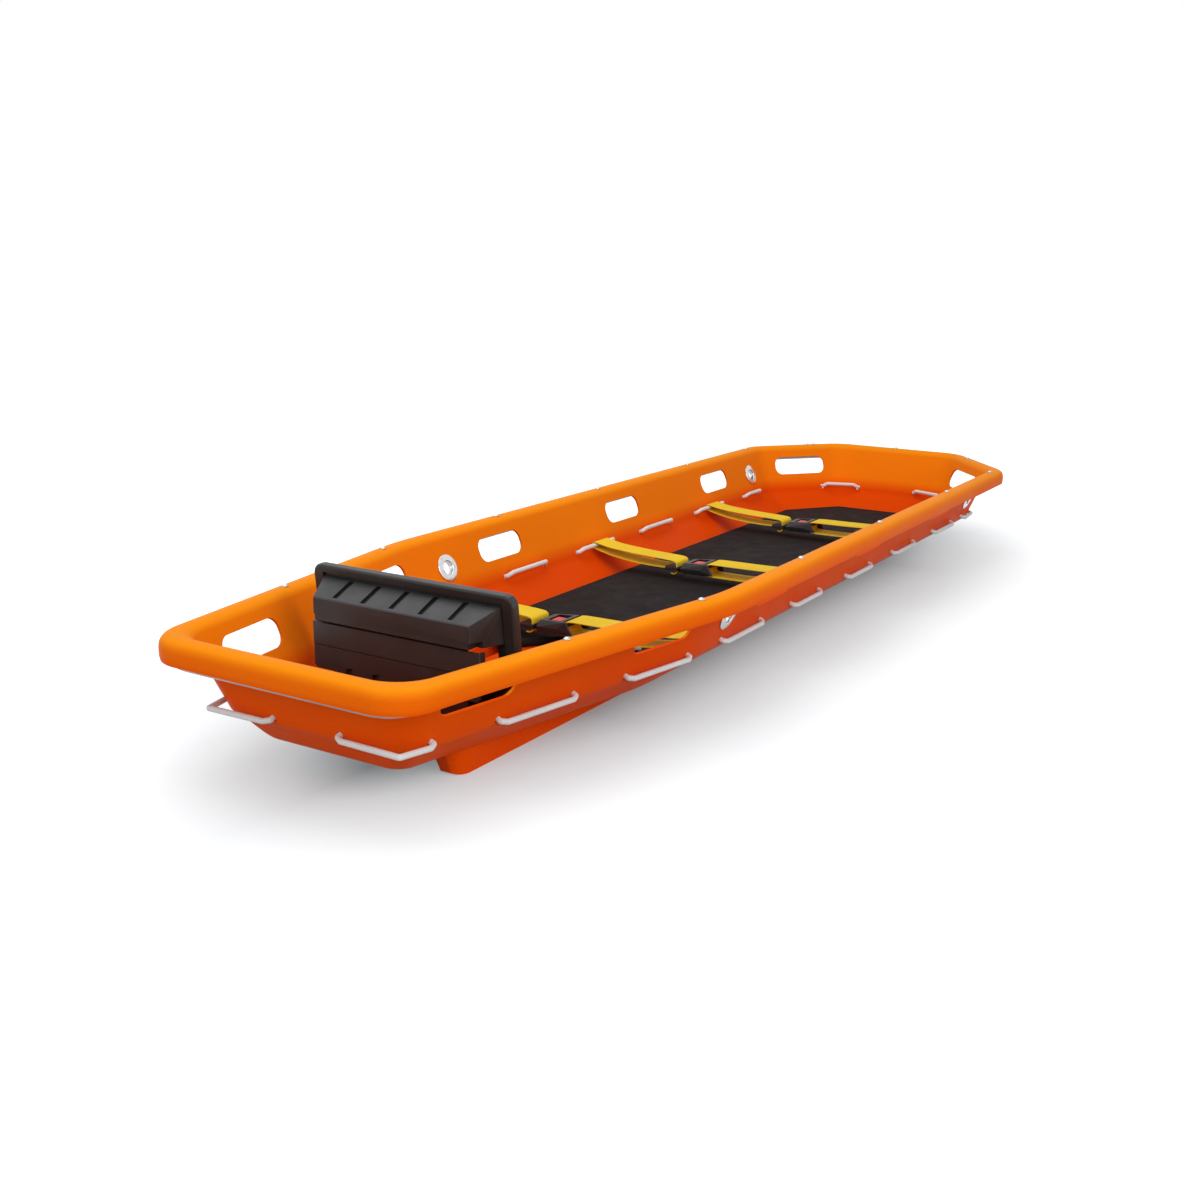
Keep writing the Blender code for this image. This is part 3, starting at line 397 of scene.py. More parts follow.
def drawn_aluminium():
    """Drawn tube: fine lines along it and a cloudy oxide. Its dark colour is painted shade, for a tube that
    is seen only in the rim's shadow.
    """
    n = Material("drawn_aluminium", (0.36, 0.35, 0.34), 0.42, 1.0)
    lines = n.noise(60.0, 5.0, (0.3, 12.0, 12.0))
    oxide = n.share(n.noise(30.0, 5.0), 0.35, 0.70)
    tint = n.blend(oxide, (0.40, 0.39, 0.38), (0.28, 0.27, 0.26))
    return n.finish(tint, n.remap(lines, 0.3, 0.7, 0.34, 0.50), n.bump(lines, 0.0001, 0.6))


def over_under(n, across, along):
    """Height of a plain weave, where each strand runs along and dips under every second pick."""
    strand = n.math("ABSOLUTE", n.math("SINE", n.math("MULTIPLY", across, math.pi)))
    turn = n.math("MULTIPLY", n.math("FLOOR", across), math.pi)
    pick = n.math("COSINE", n.math("ADD", n.math("MULTIPLY", along, math.pi), turn))
    pick = n.math("ADD", n.math("MULTIPLY", pick, 0.5), 0.5)
    dip = n.math("ADD", n.math("MULTIPLY", pick, 0.75), 0.25)
    return n.math("MULTIPLY", n.math("POWER", strand, 0.6), dip)


def yellow_webbing():
    """Woven polyester: the weave follows the strap's own width and length, with firm selvedges."""
    n = Material("yellow_webbing", (0.80, 0.53, 0.028), 0.72)
    n.set(n.shader, "Specular IOR Level", 0.25)
    n.set(n.shader, "Sheen Weight", 0.12)
    n.set(n.shader, "Sheen Roughness", 0.45)
    n.set(n.shader, "Sheen Tint", (1.0, 0.80, 0.25, 1.0))
    flat = n.add("SeparateXYZ", {0: n.add("UVMap", uv_map="strap").outputs[0]})
    across = n.math("MULTIPLY", flat.outputs["X"], WEBBING_STRANDS)
    along = n.math("DIVIDE", flat.outputs["Y"], WEBBING_PICK)
    weave = over_under(n, across, along)
    from_edge = n.math("MINIMUM", flat.outputs["X"], n.math("SUBTRACT", 1.0, flat.outputs["X"]))
    selvedge = n.remap(from_edge, 0.025, 0.055, 1.0, 0.0)
    faded = n.share(n.noise(12.0, 5.0), 0.35, 0.70)
    light = n.blend(faded, (0.98, 0.700, 0.014), (0.94, 0.620, 0.012))
    dip_shade = n.blend(faded, (0.78, 0.480, 0.008), (0.70, 0.420, 0.007))
    # Painted shade: the weave is darker where its strands dip under the picks.
    colour = n.blend(n.share(weave, 0.10, 0.65), dip_shade, light)
    colour = n.blend(n.math("MULTIPLY", selvedge, 0.35), colour, (0.95, 0.72, 0.050))
    fibre = n.bump(n.noise(1600.0, 3.0, (1.0, 0.3, 1.0)), 0.00010, 0.6)
    raised = n.math("ADD", weave, n.math("MULTIPLY", selvedge, 0.8))
    return n.finish(colour, n.remap(weave, 0.0, 1.0, 0.82, 0.62), n.bump(raised, 0.00028, 0.9, fibre))


def white_rope():
    """Braided cord: two sets of strands cross at a slant round it."""
    n = Material("braided_cord", (0.80, 0.80, 0.78), 0.75)
    n.set(n.shader, "Sheen Weight", 0.20)
    n.set(n.shader, "Sheen Roughness", 0.50)
    flat = n.add("SeparateXYZ", {0: n.add("UVMap", uv_map="cord").outputs[0]})
    turns = n.math("MULTIPLY", flat.outputs["X"], ROPE_STRANDS)
    picks = n.math("DIVIDE", flat.outputs["Y"], ROPE_PICK)
    braid = over_under(n, n.math("ADD", turns, picks), n.math("SUBTRACT", turns, picks))
    dusty = n.share(n.noise(22.0, 6.0), 0.35, 0.75)
    light = n.blend(dusty, (0.86, 0.86, 0.85), (0.79, 0.78, 0.77))
    # Painted shade: the braid is greyer where its strands dip.
    colour = n.blend(n.share(braid, 0.0, 0.45), (0.62, 0.61, 0.60), light)
    fibre = n.bump(n.noise(1800.0, 3.0), 0.00008, 0.6)
    return n.finish(colour, n.remap(braid, 0.0, 1.0, 0.88, 0.66), n.bump(braid, 0.00025, 0.8, fibre))


def grey_vinyl():
    """Matt label stock with faint handling marks."""
    n = Material("grey_vinyl", (0.50, 0.50, 0.50), 0.5)
    tint = n.blend(n.share(n.noise(60.0, 5.0), 0.4, 0.7), (0.52, 0.52, 0.52), (0.44, 0.44, 0.43))
    rough = n.remap(n.noise(90.0, 4.0), 0.3, 0.7, 0.42, 0.60)
    return n.finish(tint, rough, n.bump(n.noise(500.0, 2.0), 0.0001, 0.5))


def coated_foam():
    """Dull coated foam: a fine pebbled skin with faint dust and rubbed patches."""
    n = Material("coated_foam", (0.016, 0.013, 0.013), 0.82)
    n.set(n.shader, "Specular IOR Level", 0.10)
    cells = n.add("TexVoronoi", {"Vector": n.place(), "Scale": 700.0}).outputs["Distance"]
    dusty = n.share(n.noise(6.0, 7.0, (1, 1, 1), 0.65), 0.45, 0.80)
    colour = n.blend(dusty, (0.015, 0.012, 0.012), (0.022, 0.019, 0.018))
    # Painted shade: the pits between the raised pebbles are darker.
    colour = n.blend(n.remap(cells, 0.25, 0.60, 0.0, 0.5), colour, (0.010, 0.008, 0.008))
    soft = n.bump(n.noise(9.0, 2.0), 0.0010, 0.12)
    rough = n.remap(n.noise(30.0, 4.0), 0.3, 0.7, 0.74, 0.92)
    return n.finish(colour, rough, n.bump(n.math("SUBTRACT", 1.0, cells), 0.00022, 0.8, soft))


def give(obj, look):
    """The only material of a piece. A node of the frame keeps its slots."""
    if not obj.material_slots:
        obj.data.materials.append(look)
    for one in obj.material_slots:
        one.material = look


def mesh_from(name, bm):
    """A new mesh made from a bmesh, which is freed."""
    mesh = bpy.data.meshes.new(name)
    bm.to_mesh(mesh)
    bm.free()
    return mesh


def new_piece(name, mesh, look, place=None):
    made = bpy.data.objects.new(name, mesh)
    bpy.context.scene.collection.objects.link(made)
    mesh.materials.append(look)
    mesh.shade_smooth()
    mesh.set_sharp_from_angle(angle=SMOOTH_ANGLE)
    if place is not None:
        made.matrix_world = place
    return made


def crest_corners():
    return [Vector((-CREST_END_X, 0)), Vector((-CREST_END_X, FOOT_CORNER_Y)),
            Vector((TAPER_START_X, CREST_SIDE_Y)), Vector((HEAD_SIDE_CORNER_X, CREST_SIDE_Y)),
            Vector((CREST_END_X, HEAD_END_CORNER_Y)), Vector((CREST_END_X, 0))]


def even(inset):
    """The same inset on every run of the outline."""
    return [inset] * len(STRAIGHT_STEPS)


def inset_corners(insets):
    """The crest's corners, with each run between them moved in by its own inset."""
    corners = crest_corners()
    lines = []
    for start, end, inset in zip(corners, corners[1:], insets):
        along = (end - start).normalized()
        lines.append((start + Vector((along.y, -along.x)) * inset, along))
    points = [Vector((lines[0][0].x, 0))]
    for (p, t), (q, s) in zip(lines, lines[1:]):
        points.append(p + t * ((q - p).cross(s) / t.cross(s)))
    points.append(Vector((lines[-1][0].x, 0)))
    return points


def half_outline(insets):
    """The crest's half outline at +Y, moved in by the insets, with rounded corners."""
    corners = inset_corners(insets)
    depth = sum(insets) / len(insets)
    points = []
    last = corners[0]
    for index in range(1, len(corners) - 1):
        before, corner, after = corners[index - 1:index + 2]
        u = (corner - before).normalized()
        v = (after - corner).normalized()
        turn = u.angle(v)
        radius = max(CORNER_RADII[index - 1] - RADIUS_LOSS * depth, SMALLEST_RADIUS)
        start = corner - u * (radius * math.tan(turn / 2))
        centre = start + Vector((u.y, -u.x)) * radius
        straight = STRAIGHT_STEPS[index - 1]
        for k in range(1, straight):
            points.append(last.lerp(start, k / straight))
        steps = CORNER_STEPS[index - 1]
        for k in range(steps + 1):
            spoke = start - centre
            spoke.rotate(Matrix.Rotation(-turn * k / steps, 2))
            points.append(centre + spoke)
        last = points[-1]
    return points


def ring(insets, z, foot_drop=0.0):
    """A level outline that may hang lower across the foot end."""
    half = half_outline(insets)
    points = []
    for p in half + [Vector((q.x, -q.y)) for q in reversed(half)]:
        share = min(max((FOOT_DROP_START_X - p.x) / FOOT_DROP_LENGTH, 0.0), 1.0)
        points.append(Vector((p.x, p.y, z - foot_drop * share)))
    return points


def wall_inset(z):
    return CREASE_INSET - WALL_LEAN * (z - CREASE_Z)


def wall_frame(z, x=None, y=None):
    """Middle of the wall at +Y: X axis along the wall towards the head, Y axis up it, Z axis outwards.

    It is found by its X on the side, or by its Y: above zero at the foot end, below zero at the head end.
    """
    half = half_outline(even(wall_inset(z)))
    half = [Vector((half[0].x, 0))] + half + [Vector((half[-1].x, 0))]
    for start, end in zip(half, half[1:]):
        if x is not None and start.x <= x <= end.x and end.x - start.x > TINY:
            share = (x - start.x) / (end.x - start.x)
            break
        if y is not None and start.y <= y <= end.y and start.x < 0:
            share = (y - start.y) / (end.y - start.y)
            break
        if y is not None and end.y <= -y <= start.y and start.x > 0:
            share = (start.y + y) / (start.y - end.y)
            break
    here = start.lerp(end, share)
    along = (end - start).normalized()
    outward = Vector((-along.y, along.x, -WALL_LEAN)).normalized()
    along = Vector((along.x, along.y, 0))
    centre = Vector((here.x, here.y, z)) + outward * (SHELL_THICKNESS / 2)
    axes = Matrix((along, outward.cross(along), outward)).transposed().to_4x4()
    return Matrix.Translation(centre) @ axes


def both_sides(place):
    """A place at +Y and its mirror image at -Y."""
    flip = Matrix.Diagonal((1, -1, 1, 1))
    return (place, flip @ place @ flip)


def bowl_levels():
    """The bowl's levels with a smooth curve through them."""
    levels = [(z, *insets) for z, insets in BOWL_LEVELS]
    made = [levels[0]]
    for i in range(len(levels) - 1):
        before, here, there, after = (levels[min(max(i + k, 0), len(levels) - 1)] for k in (-1, 0, 1, 2))
        for step in range(1, BOWL_STEPS + 1):
            t = step / BOWL_STEPS
            row = []
            for p, a, b, q in zip(before, here, there, after):
                row.append(0.5 * (2 * a + (b - p) * t + (2 * p - 5 * a + 4 * b - q) * t**2
                                  + (3 * a - p - 3 * b + q) * t**3))
            made.append(tuple(row))
    return made


def roll_point(angle):
    """Inset and height on the rolled rim, which is round inside and squarer on its outer half."""
    c, s = math.cos(angle), math.sin(angle)
    if c < 0:
        power = 2 / ROLL_SQUARENESS
        c = -abs(c) ** power
        s = max(s, 0.0) ** power
    return ROLL_RADIUS * c, ROLL_Z + ROLL_RADIUS * s


def shell_rings():
    rings = [ring(level[1:], level[0]) for level in bowl_levels()]
    roll_foot = ROLL_Z + ROLL_RADIUS * math.sin(math.radians(ROLL_START))
    for step in range(1, WALL_STEPS):
        z = CREASE_Z + (roll_foot - CREASE_Z) * step / WALL_STEPS
        rings.append(ring(even(wall_inset(z)), z))
    for step in range(ROLL_STEPS + 1):
        inset, z = roll_point(math.radians(ROLL_START + (180 - ROLL_START) * step / ROLL_STEPS))
        rings.append(ring(even(inset), z))
    for inset, z in SKIRT:
        rings.append(ring(even(inset), z, SKIRT_FOOT_DROP))
    return rings


def loft(bm, rings):
    rows = [[bm.verts.new(p) for p in one] for one in rings]
    count = len(rows[0])
    for lower, upper in zip(rows, rows[1:]):
        for i in range(count):
            j = (i + 1) % count
            bm.faces.new((lower[i], lower[j], upper[j], upper[i]))
    return rows


def runner_solid(bm, side, shrink, low, high):
    """A runner with rounded noses; shrink makes the channel that is cut out of it."""
    turns = [math.pi / 2 * k / RUNNER_STATIONS for k in range(RUNNER_STATIONS + 1)]
    stations = [(RUNNER_FOOT_X + shrink + (1 - math.cos(t)) * RUNNER_NOSE, 1 - math.sin(t)) for t in turns]
    stations += [(RUNNER_HEAD_X - shrink - (1 - math.cos(t)) * RUNNER_NOSE, 1 - math.sin(t))
                 for t in reversed(turns)]
    middle = side * RUNNER_MID_Y
    rings = []
    for x, blend in stations:
        half = RUNNER_HALF_WIDTH - shrink - blend * RUNNER_NOSE_TAPER
        bottom = low + blend * RUNNER_NOSE_LIFT
        top_x = x + math.copysign(blend * RUNNER_NOSE_SLOPE * (high - low), x)
        rings.append([Vector((x, middle - half, bottom)), Vector((x, middle + half, bottom)),
                      Vector((top_x, middle + half + RUNNER_DRAFT, high)),
                      Vector((top_x, middle - half - RUNNER_DRAFT, high))])
    rows = loft(bm, rings)
    bm.faces.new(rows[0])
    bm.faces.new(reversed(rows[-1]))


def arc(centre, radius, start, end, steps):
    points = []
    for k in range(steps + 1):
        angle = math.radians(start + (end - start) * k / steps)
        points.append((centre[0] + radius * math.cos(angle), centre[1] + radius * math.sin(angle)))
    return points


def circle(radius, sides):
    return arc((0.0, 0.0), radius, 0, 360 - 360 / sides, sides - 1)


def rounded_rectangle(width, height, radius):
    points = []
    for corner in range(4):
        sx = 1 if corner in (0, 3) else -1
        sy = 1 if corner in (0, 1) else -1
        centre = (sx * (width / 2 - radius), sy * (height / 2 - radius))
        points += arc(centre, radius, 90 * corner, 90 * corner + 90, HAND_HOLE_STEPS)
    return points


def add_prism(bm, outline, place, near, far):
    bottom = [bm.verts.new(place @ Vector((x, y, near))) for x, y in outline]
    top = bmesh.ops.extrude_face_region(bm, geom=[bm.faces.new(bottom)])["geom"]
    shift = place.to_3x3() @ Vector((0, 0, far - near))
    bmesh.ops.translate(bm, verts=[v for v in top if isinstance(v, bmesh.types.BMVert)], vec=shift)


def cutter(name, bm):
    """A solid for a Boolean, which is deleted once the cut is made."""
    bmesh.ops.recalc_face_normals(bm, faces=bm.faces)
    made = bpy.data.objects.new(name, mesh_from(name, bm))
    bpy.context.scene.collection.objects.link(made)
    return made


def boolean(target, tool, operation="DIFFERENCE"):
    step = target.modifiers.new(tool.name, "BOOLEAN")
    step.operation = operation
    step.solver = "EXACT"
    step.object = tool


def settled(obj, smooth_angle):
    """Applies a piece's modifiers and removes the solids that cut it."""
    bpy.context.view_layer.update()
    tools = [step.object for step in obj.modifiers if step.type == "BOOLEAN"]
    mesh = bpy.data.meshes.new_from_object(obj.evaluated_get(bpy.context.evaluated_depsgraph_get()))
    obj.modifiers.clear()
    obj.data = mesh
    for tool in tools:
        bpy.data.objects.remove(tool, do_unlink=True)
    mesh.shade_smooth()
    mesh.set_sharp_from_angle(angle=smooth_angle)


def wall_openings():
    """One cutter with a prism for each opening on both sides."""
    hand_hole = rounded_rectangle(*HAND_HOLE_SIZE, HAND_HOLE_RADIUS)
    chamfer_hand_hole = rounded_rectangle(CHAMFER_HAND_HOLE_LENGTH, HAND_HOLE_SIZE[1], HAND_HOLE_RADIUS)
    eyelet_hole = circle(EYELET_HOLE_RADIUS, TURN_STEPS)
    rope_hole = circle(ROPE_HOLE_RADIUS, ROPE_HOLE_SIDES)
    kinds = ((hand_hole, HAND_HOLE_CUT, [wall_frame(HAND_HOLE_Z, x=x) for x in SIDE_HAND_HOLES_X]),
             (chamfer_hand_hole, HAND_HOLE_CUT, [wall_frame(HAND_HOLE_Z, x=CHAMFER_HAND_HOLE_X)]),
             (eyelet_hole, EYELET_HOLE_CUT, [wall_frame(EYELET_Z, x=x) for x in EYELET_X]),
             (rope_hole, ROPE_HOLE_CUT, rope_frames()))
    bm = bmesh.new()
    for outline, cut, places in kinds:
        for left_place in places:
            for place in both_sides(left_place):
                add_prism(bm, outline, place, *cut)
    return cutter("openings", bm)


def moulded_shell(look):
    """The bowl and its rolled rim, finer than the solid, with the same openings and runners."""
    bm = bmesh.new()
    rows = loft(bm, shell_rings())
    floor = bm.faces.new(rows[0])
    bmesh.ops.recalc_face_normals(bm, faces=bm.faces)
    if floor.normal.z < 0:
        bmesh.ops.reverse_faces(bm, faces=bm.faces)
    made = new_piece("moulded_shell", mesh_from("moulded_shell", bm), look)
    skin = made.modifiers.new("skin", "SOLIDIFY")
    skin.thickness = SHELL_THICKNESS
    skin.offset = -1.0
    skin.use_even_offset = True
    runners = bmesh.new()
    channels = bmesh.new()
    for side in (1, -1):
        runner_solid(runners, side, 0.0, 0.0, RUNNER_TOP_Z)
        runner_solid(channels, side, RUNNER_WALL, RUNNER_WALL, CHANNEL_TOP_Z)
    boolean(made, cutter("runners", runners), "UNION")
    boolean(made, cutter("channels", channels))
    boolean(made, wall_openings())
    settled(made, SHELL_SMOOTH_ANGLE)
    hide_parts("shell")
    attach(made, "basket")


def rim_pipe(look):
    path = ring(even(0.0), TUBE_Z, TUBE_FOOT_DROP)
    made = swept_tube("rim_pipe", path, TUBE_RADIUS, TUBE_SIDES, look)
    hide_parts("rim_tube")
    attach(made, "basket")


def rope_frames():
    frames = [wall_frame(ROPE_Z, y=FOOT_ROPE_HOLE_Y)]
    frames += [wall_frame(ROPE_Z, x=x) for x in SIDE_ROPE_HOLES_X]
    frames.append(wall_frame(ROPE_Z, x=CHAMFER_ROPE_HOLE_X))
    frames.append(wall_frame(ROPE_Z, y=-HEAD_ROPE_HOLE_Y))
    return frames


def run_end(lead, side):
    """Where a run of the rope turns to its hole, in the hole's frame. Inside the wall it hangs lower."""
    if side > 0:
        return Vector((lead, 0, ROPE_STANDOFF))
    return Vector((lead, -ROPE_INNER_DROP, -ROPE_INNER_STANDOFF))


def rope_route():
    """The rope's points: in and out through its holes, mirrored at -Y."""
    corner = inset_corners(even(wall_inset(ROPE_Z)))[HEAD_SIDE_CORNER]
    head_knee = corner + Vector(HEAD_KNEE_DIRECTION).normalized() * HEAD_KNEE_STANDOFF
    half = []
    came = -1
    for index, hole in enumerate(rope_frames()):
        left = -came
        half.append(hole @ run_end(-ROPE_LEAD, came))
        half.append(hole @ Vector((0, 0, came * ROPE_PASSAGE)))
        half.append(hole @ Vector((0, 0, left * ROPE_PASSAGE)))
        half.append(hole @ run_end(ROPE_LEAD, left))
        if index == 0:
            half.append(Vector((*FOOT_KNEE, half[-1].z)))
        if index == len(SIDE_ROPE_HOLES_X):
            half.append(Vector((*head_knee, half[-1].z)))
        came = left
    return half + [Vector((p.x, -p.y, p.z)) for p in reversed(half)]


def taut_loop(points):
    """A closed path of straight runs, with each corner rounded just enough for the cord to bend."""
    count = len(points)
    made = []
    for i in range(count):
        before, here, there = (points[(i + k) % count] for k in (-1, 0, 1))
        back, on = before - here, there - here
        reach = min(ROPE_KNEE_RADIUS / math.tan(back.angle(on) / 2), back.length * ROPE_KNEE_SHARE,
                    on.length * ROPE_KNEE_SHARE)
        start, end = here + back.normalized() * reach, here + on.normalized() * reach
        for k in range(ROPE_KNEE_STEPS + 1):
            t = k / ROPE_KNEE_STEPS
            made.append(start * (1 - t)**2 + here * (2 * t * (1 - t)) + end * t**2)
        next_knee = there + (here - there).normalized() * reach
        pieces = int((next_knee - end).length / ROPE_STEP)
        for k in range(1, pieces):
            made.append(end.lerp(next_knee, k / pieces))
    return made


def swept_tube(name, path, radius, sides, look):
    """A closed tube along a looping path, with its own UVs: turns round it and metres along it."""
    count = len(path)
    tangents = [(path[(i + 1) % count] - path[i - 1]).normalized() for i in range(count)]
    side = tangents[0].cross(Vector((0, 0, 1))).normalized()
    bm = bmesh.new()
    uv = bm.loops.layers.uv.new("cord")
    rows = []
    for here, tangent in zip(path, tangents):
        side = (side - tangent * side.dot(tangent)).normalized()
        up = tangent.cross(side)
        row = []
        for k in range(sides):
            angle = 2 * math.pi * k / sides
            row.append(bm.verts.new(here + (side * math.cos(angle) + up * math.sin(angle)) * radius))
        rows.append(row)
    gone = 0.0
    for i in range(count):
        j = (i + 1) % count
        length = (path[j] - path[i]).length
        for k in range(sides):
            m = (k + 1) % sides
            face = bm.faces.new((rows[i][k], rows[i][m], rows[j][m], rows[j][k]))
            corners = ((k, gone), (k + 1, gone), (k + 1, gone + length), (k, gone + length))
            for loop, (turn, metre) in zip(face.loops, corners):
                loop[uv].uv = (turn / sides, metre)
        gone += length
    bmesh.ops.recalc_face_normals(bm, faces=bm.faces)
    return new_piece(name, mesh_from(name, bm), look)


def lacing_rope(look):
    made = swept_tube("cord_lacing", taut_loop(rope_route()), ROPE_RADIUS, ROPE_SIDES, look)
    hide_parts("lacing_rope")
    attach(made, "basket")


def turned(name, profile, place, look):
    """A profile of radius and height swept round Z with the Screw modifier."""
    edges = [(i, i + 1) for i in range(len(profile) - 1)]
    if profile[0][0] > TINY:
        edges.append((len(profile) - 1, 0))
    mesh = bpy.data.meshes.new(name)
    mesh.from_pydata([(r, 0, z) for r, z in profile], edges, [])
    made = new_piece(name, mesh, look, place)
    sweep = made.modifiers.new("turn", "SCREW")
    sweep.steps = TURN_STEPS
    sweep.render_steps = TURN_STEPS
    sweep.use_merge_vertices = True
    sweep.merge_threshold = MERGE_DISTANCE
    sweep.use_smooth_shade = True
    return made


def eyelet_profile():
    """Grommet section: a rolled lip on the outside, a flat washer inside, joined by the barrel."""
    face = SHELL_THICKNESS / 2 + GAP
    lip_r = EYELET_FLANGE_RADIUS - EYELET_LIP
    mouth_r = EYELET_BORE_RADIUS + EYELET_MOUTH_RADIUS
    mouth = arc((mouth_r, face + EYELET_MOUTH_RISE), EYELET_MOUTH_RADIUS, 180, 90, EYELET_MOUTH_STEPS)
    lip = arc((lip_r, face + EYELET_LIP_RADIUS), EYELET_LIP_RADIUS, 90, -90, EYELET_LIP_STEPS)
    barrel = [(EYELET_BARREL_RADIUS, face), (EYELET_BARREL_RADIUS, -face)]
    washer = arc((lip_r, -face - EYELET_LIP_RADIUS), EYELET_LIP_RADIUS, 90, -90, EYELET_LIP_STEPS)
    end = arc((mouth_r, -face - EYELET_MOUTH_RISE), EYELET_MOUTH_RADIUS, 270, 180, EYELET_MOUTH_STEPS)
    return mouth + lip + barrel + washer + end


def eyelets(look):
    for side, label in enumerate(("left", "right")):
        for x, end in zip(EYELET_X, ("foot", "head")):
            place = both_sides(wall_frame(EYELET_Z, x=x))[side]
            made = turned("grommet_%s_%s" % (end, label), eyelet_profile(), place, look)
            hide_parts("eyelet_%s_%s" % (end, label))
            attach(made, "basket")


def rivets(look):
    """Domed rivet heads with the dimple that the mandrel leaves."""
    dome = arc((0.0, RIVET_DOME_Z), RIVET_DOME_RADIUS, *RIVET_DOME_DEGREES, RIVET_DOME_STEPS)
    shank = [(RIVET_HEAD_RADIUS, GAP), (RIVET_SHANK_RADIUS, GAP), (RIVET_SHANK_RADIUS, -RIVET_SHANK_LENGTH),
             (0.0, -RIVET_SHANK_LENGTH)]
    for index in range(RIVET_COUNT):
        node = "rim_rivet_%02d" % (index + 1)
        low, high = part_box(node)
        middle = (Vector(low) + Vector(high)) / 2
        place = Matrix.Translation((middle.x, middle.y, ROLL_Z + ROLL_RADIUS))
        made = turned("rivet_head_%02d" % (index + 1), RIVET_DIMPLE + dome + shank, place, look)
        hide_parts(node)
        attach(made, "basket")


def mattress(look):
    """Foam mat: its outline raised by its thickness, with soft edges."""
    notch_x, notch_inner, notch_outer = MAT_NOTCH
    foot_cut_x, foot_cut_y = MAT_FOOT_CORNER
    half = [(notch_x, notch_inner), (MAT_FOOT_X, notch_outer),
            (MAT_FOOT_X - MAT_FOOT_SLANT, MAT_HALF_WIDTH - foot_cut_y),
            (MAT_FOOT_X + foot_cut_x, MAT_HALF_WIDTH), (MAT_HEAD_CORNER[0], MAT_HALF_WIDTH),
            (MAT_HEAD_X, MAT_HEAD_CORNER[1])]
    outline = half + [(x, -y) for x, y in reversed(half)]
    bm = bmesh.new()
    bottom = bm.faces.new([bm.verts.new((x, y, FLOOR_Z + GAP)) for x, y in outline])
    raised = bmesh.ops.extrude_face_region(bm, geom=[bottom])["geom"]
    top = [v for v in raised if isinstance(v, bmesh.types.BMVert)]
    bmesh.ops.translate(bm, verts=top, vec=(0, 0, MAT_THICKNESS))
    bmesh.ops.recalc_face_normals(bm, faces=bm.faces)
    made = new_piece("foam_mat", mesh_from("foam_mat", bm), look)
    edge = made.modifiers.new("edge", "BEVEL")
    edge.width = MAT_EDGE_WIDTH
    edge.segments = MAT_EDGE_SEGMENTS
    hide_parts("mattress")
    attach(made, "basket")


def mat_label(look):
    """The bare grey label that lies near the mat's foot end."""
    corner = Vector((*LABEL_CORNER, FLOOR_Z + MAT_THICKNESS + 2 * GAP))
    along = Vector((math.cos(LABEL_TURN), math.sin(LABEL_TURN), 0)) * LABEL_SIZE[0]
    across = Vector((-math.sin(LABEL_TURN), math.cos(LABEL_TURN), 0)) * LABEL_SIZE[1]
    mesh = bpy.data.meshes.new("mat_label")
    mesh.from_pydata([corner, corner + along, corner + along + across, corner + across], [], [(0, 1, 2, 3)])
    made = new_piece("mat_label", mesh, look)
    body = made.modifiers.new("body", "SOLIDIFY")
    body.thickness = LABEL_THICKNESS
    body.offset = 1.0
    edge = made.modifiers.new("edge", "BEVEL")
    edge.width = LABEL_THICKNESS / 4
    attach(made, "basket")


def rope_loop(x):
    """Y and Z of the lacing rope's run inside the wall, where a belt goes round it."""
    point = wall_frame(ROPE_Z, x=x) @ run_end(0, -1)
    return point.y, point.z


def loop_arc(y, z, side):
    """Half a turn of webbing round the lacing rope, from its top to its bottom."""
    points = []
    for k in range(WEBBING_LOOP_STEPS + 1):
        angle = math.pi / 2 - math.pi * k / WEBBING_LOOP_STEPS
        points.append((side * (y + WEBBING_LOOP_RADIUS * math.cos(angle)),
                       z + WEBBING_LOOP_RADIUS * math.sin(angle)))
    return points


def rounded_path(points, closed):
    """A smooth path of Y and Z through the points."""
    flat = [Vector((0, y, z)) for y, z in points]
    count = len(flat)
    made = []
    for i in range(count if closed else count - 1):
        if closed:
            before, here, there, after = (flat[(i + k) % count] for k in (-1, 0, 1, 2))
        else:
            before, here, there, after = (flat[min(max(i + k, 0), count - 1)] for k in (-1, 0, 1, 2))
        a, b, c = ((here - before).length, (there - here).length, (after - there).length)
        leave = (there - before) * (b / (a + b))
        arrive = (after - here) * (b / (b + c))
        pieces = max(2, math.ceil(b / WEBBING_PATH_STEP))
        for k in range(pieces):
            t = k / pieces
            made.append(here * (2 * t**3 - 3 * t**2 + 1) + leave * (t**3 - 2 * t**2 + t)
                        + there * (3 * t**2 - 2 * t**3) + arrive * (t**3 - t**2))
    if not closed:
        made.append(flat[-1])
    return made


def webbing_section():
    """Offsets across the strap and out of it, round the webbing's section."""
    half = WEBBING_WIDTH / 2
    thick = WEBBING_THICKNESS / 2
    inset, drop = SELVEDGE_ROUND
    selvedge = [(half * SELVEDGE_START, thick * SELVEDGE_THIN), (half - thick, thick),
                (half - thick * inset, thick * drop)]
    top = [(-a, b) for a, b in reversed(selvedge)] + [(0.0, thick)] + selvedge + [(half, 0.0)]
    return top + [(-a, -b) for a, b in top]


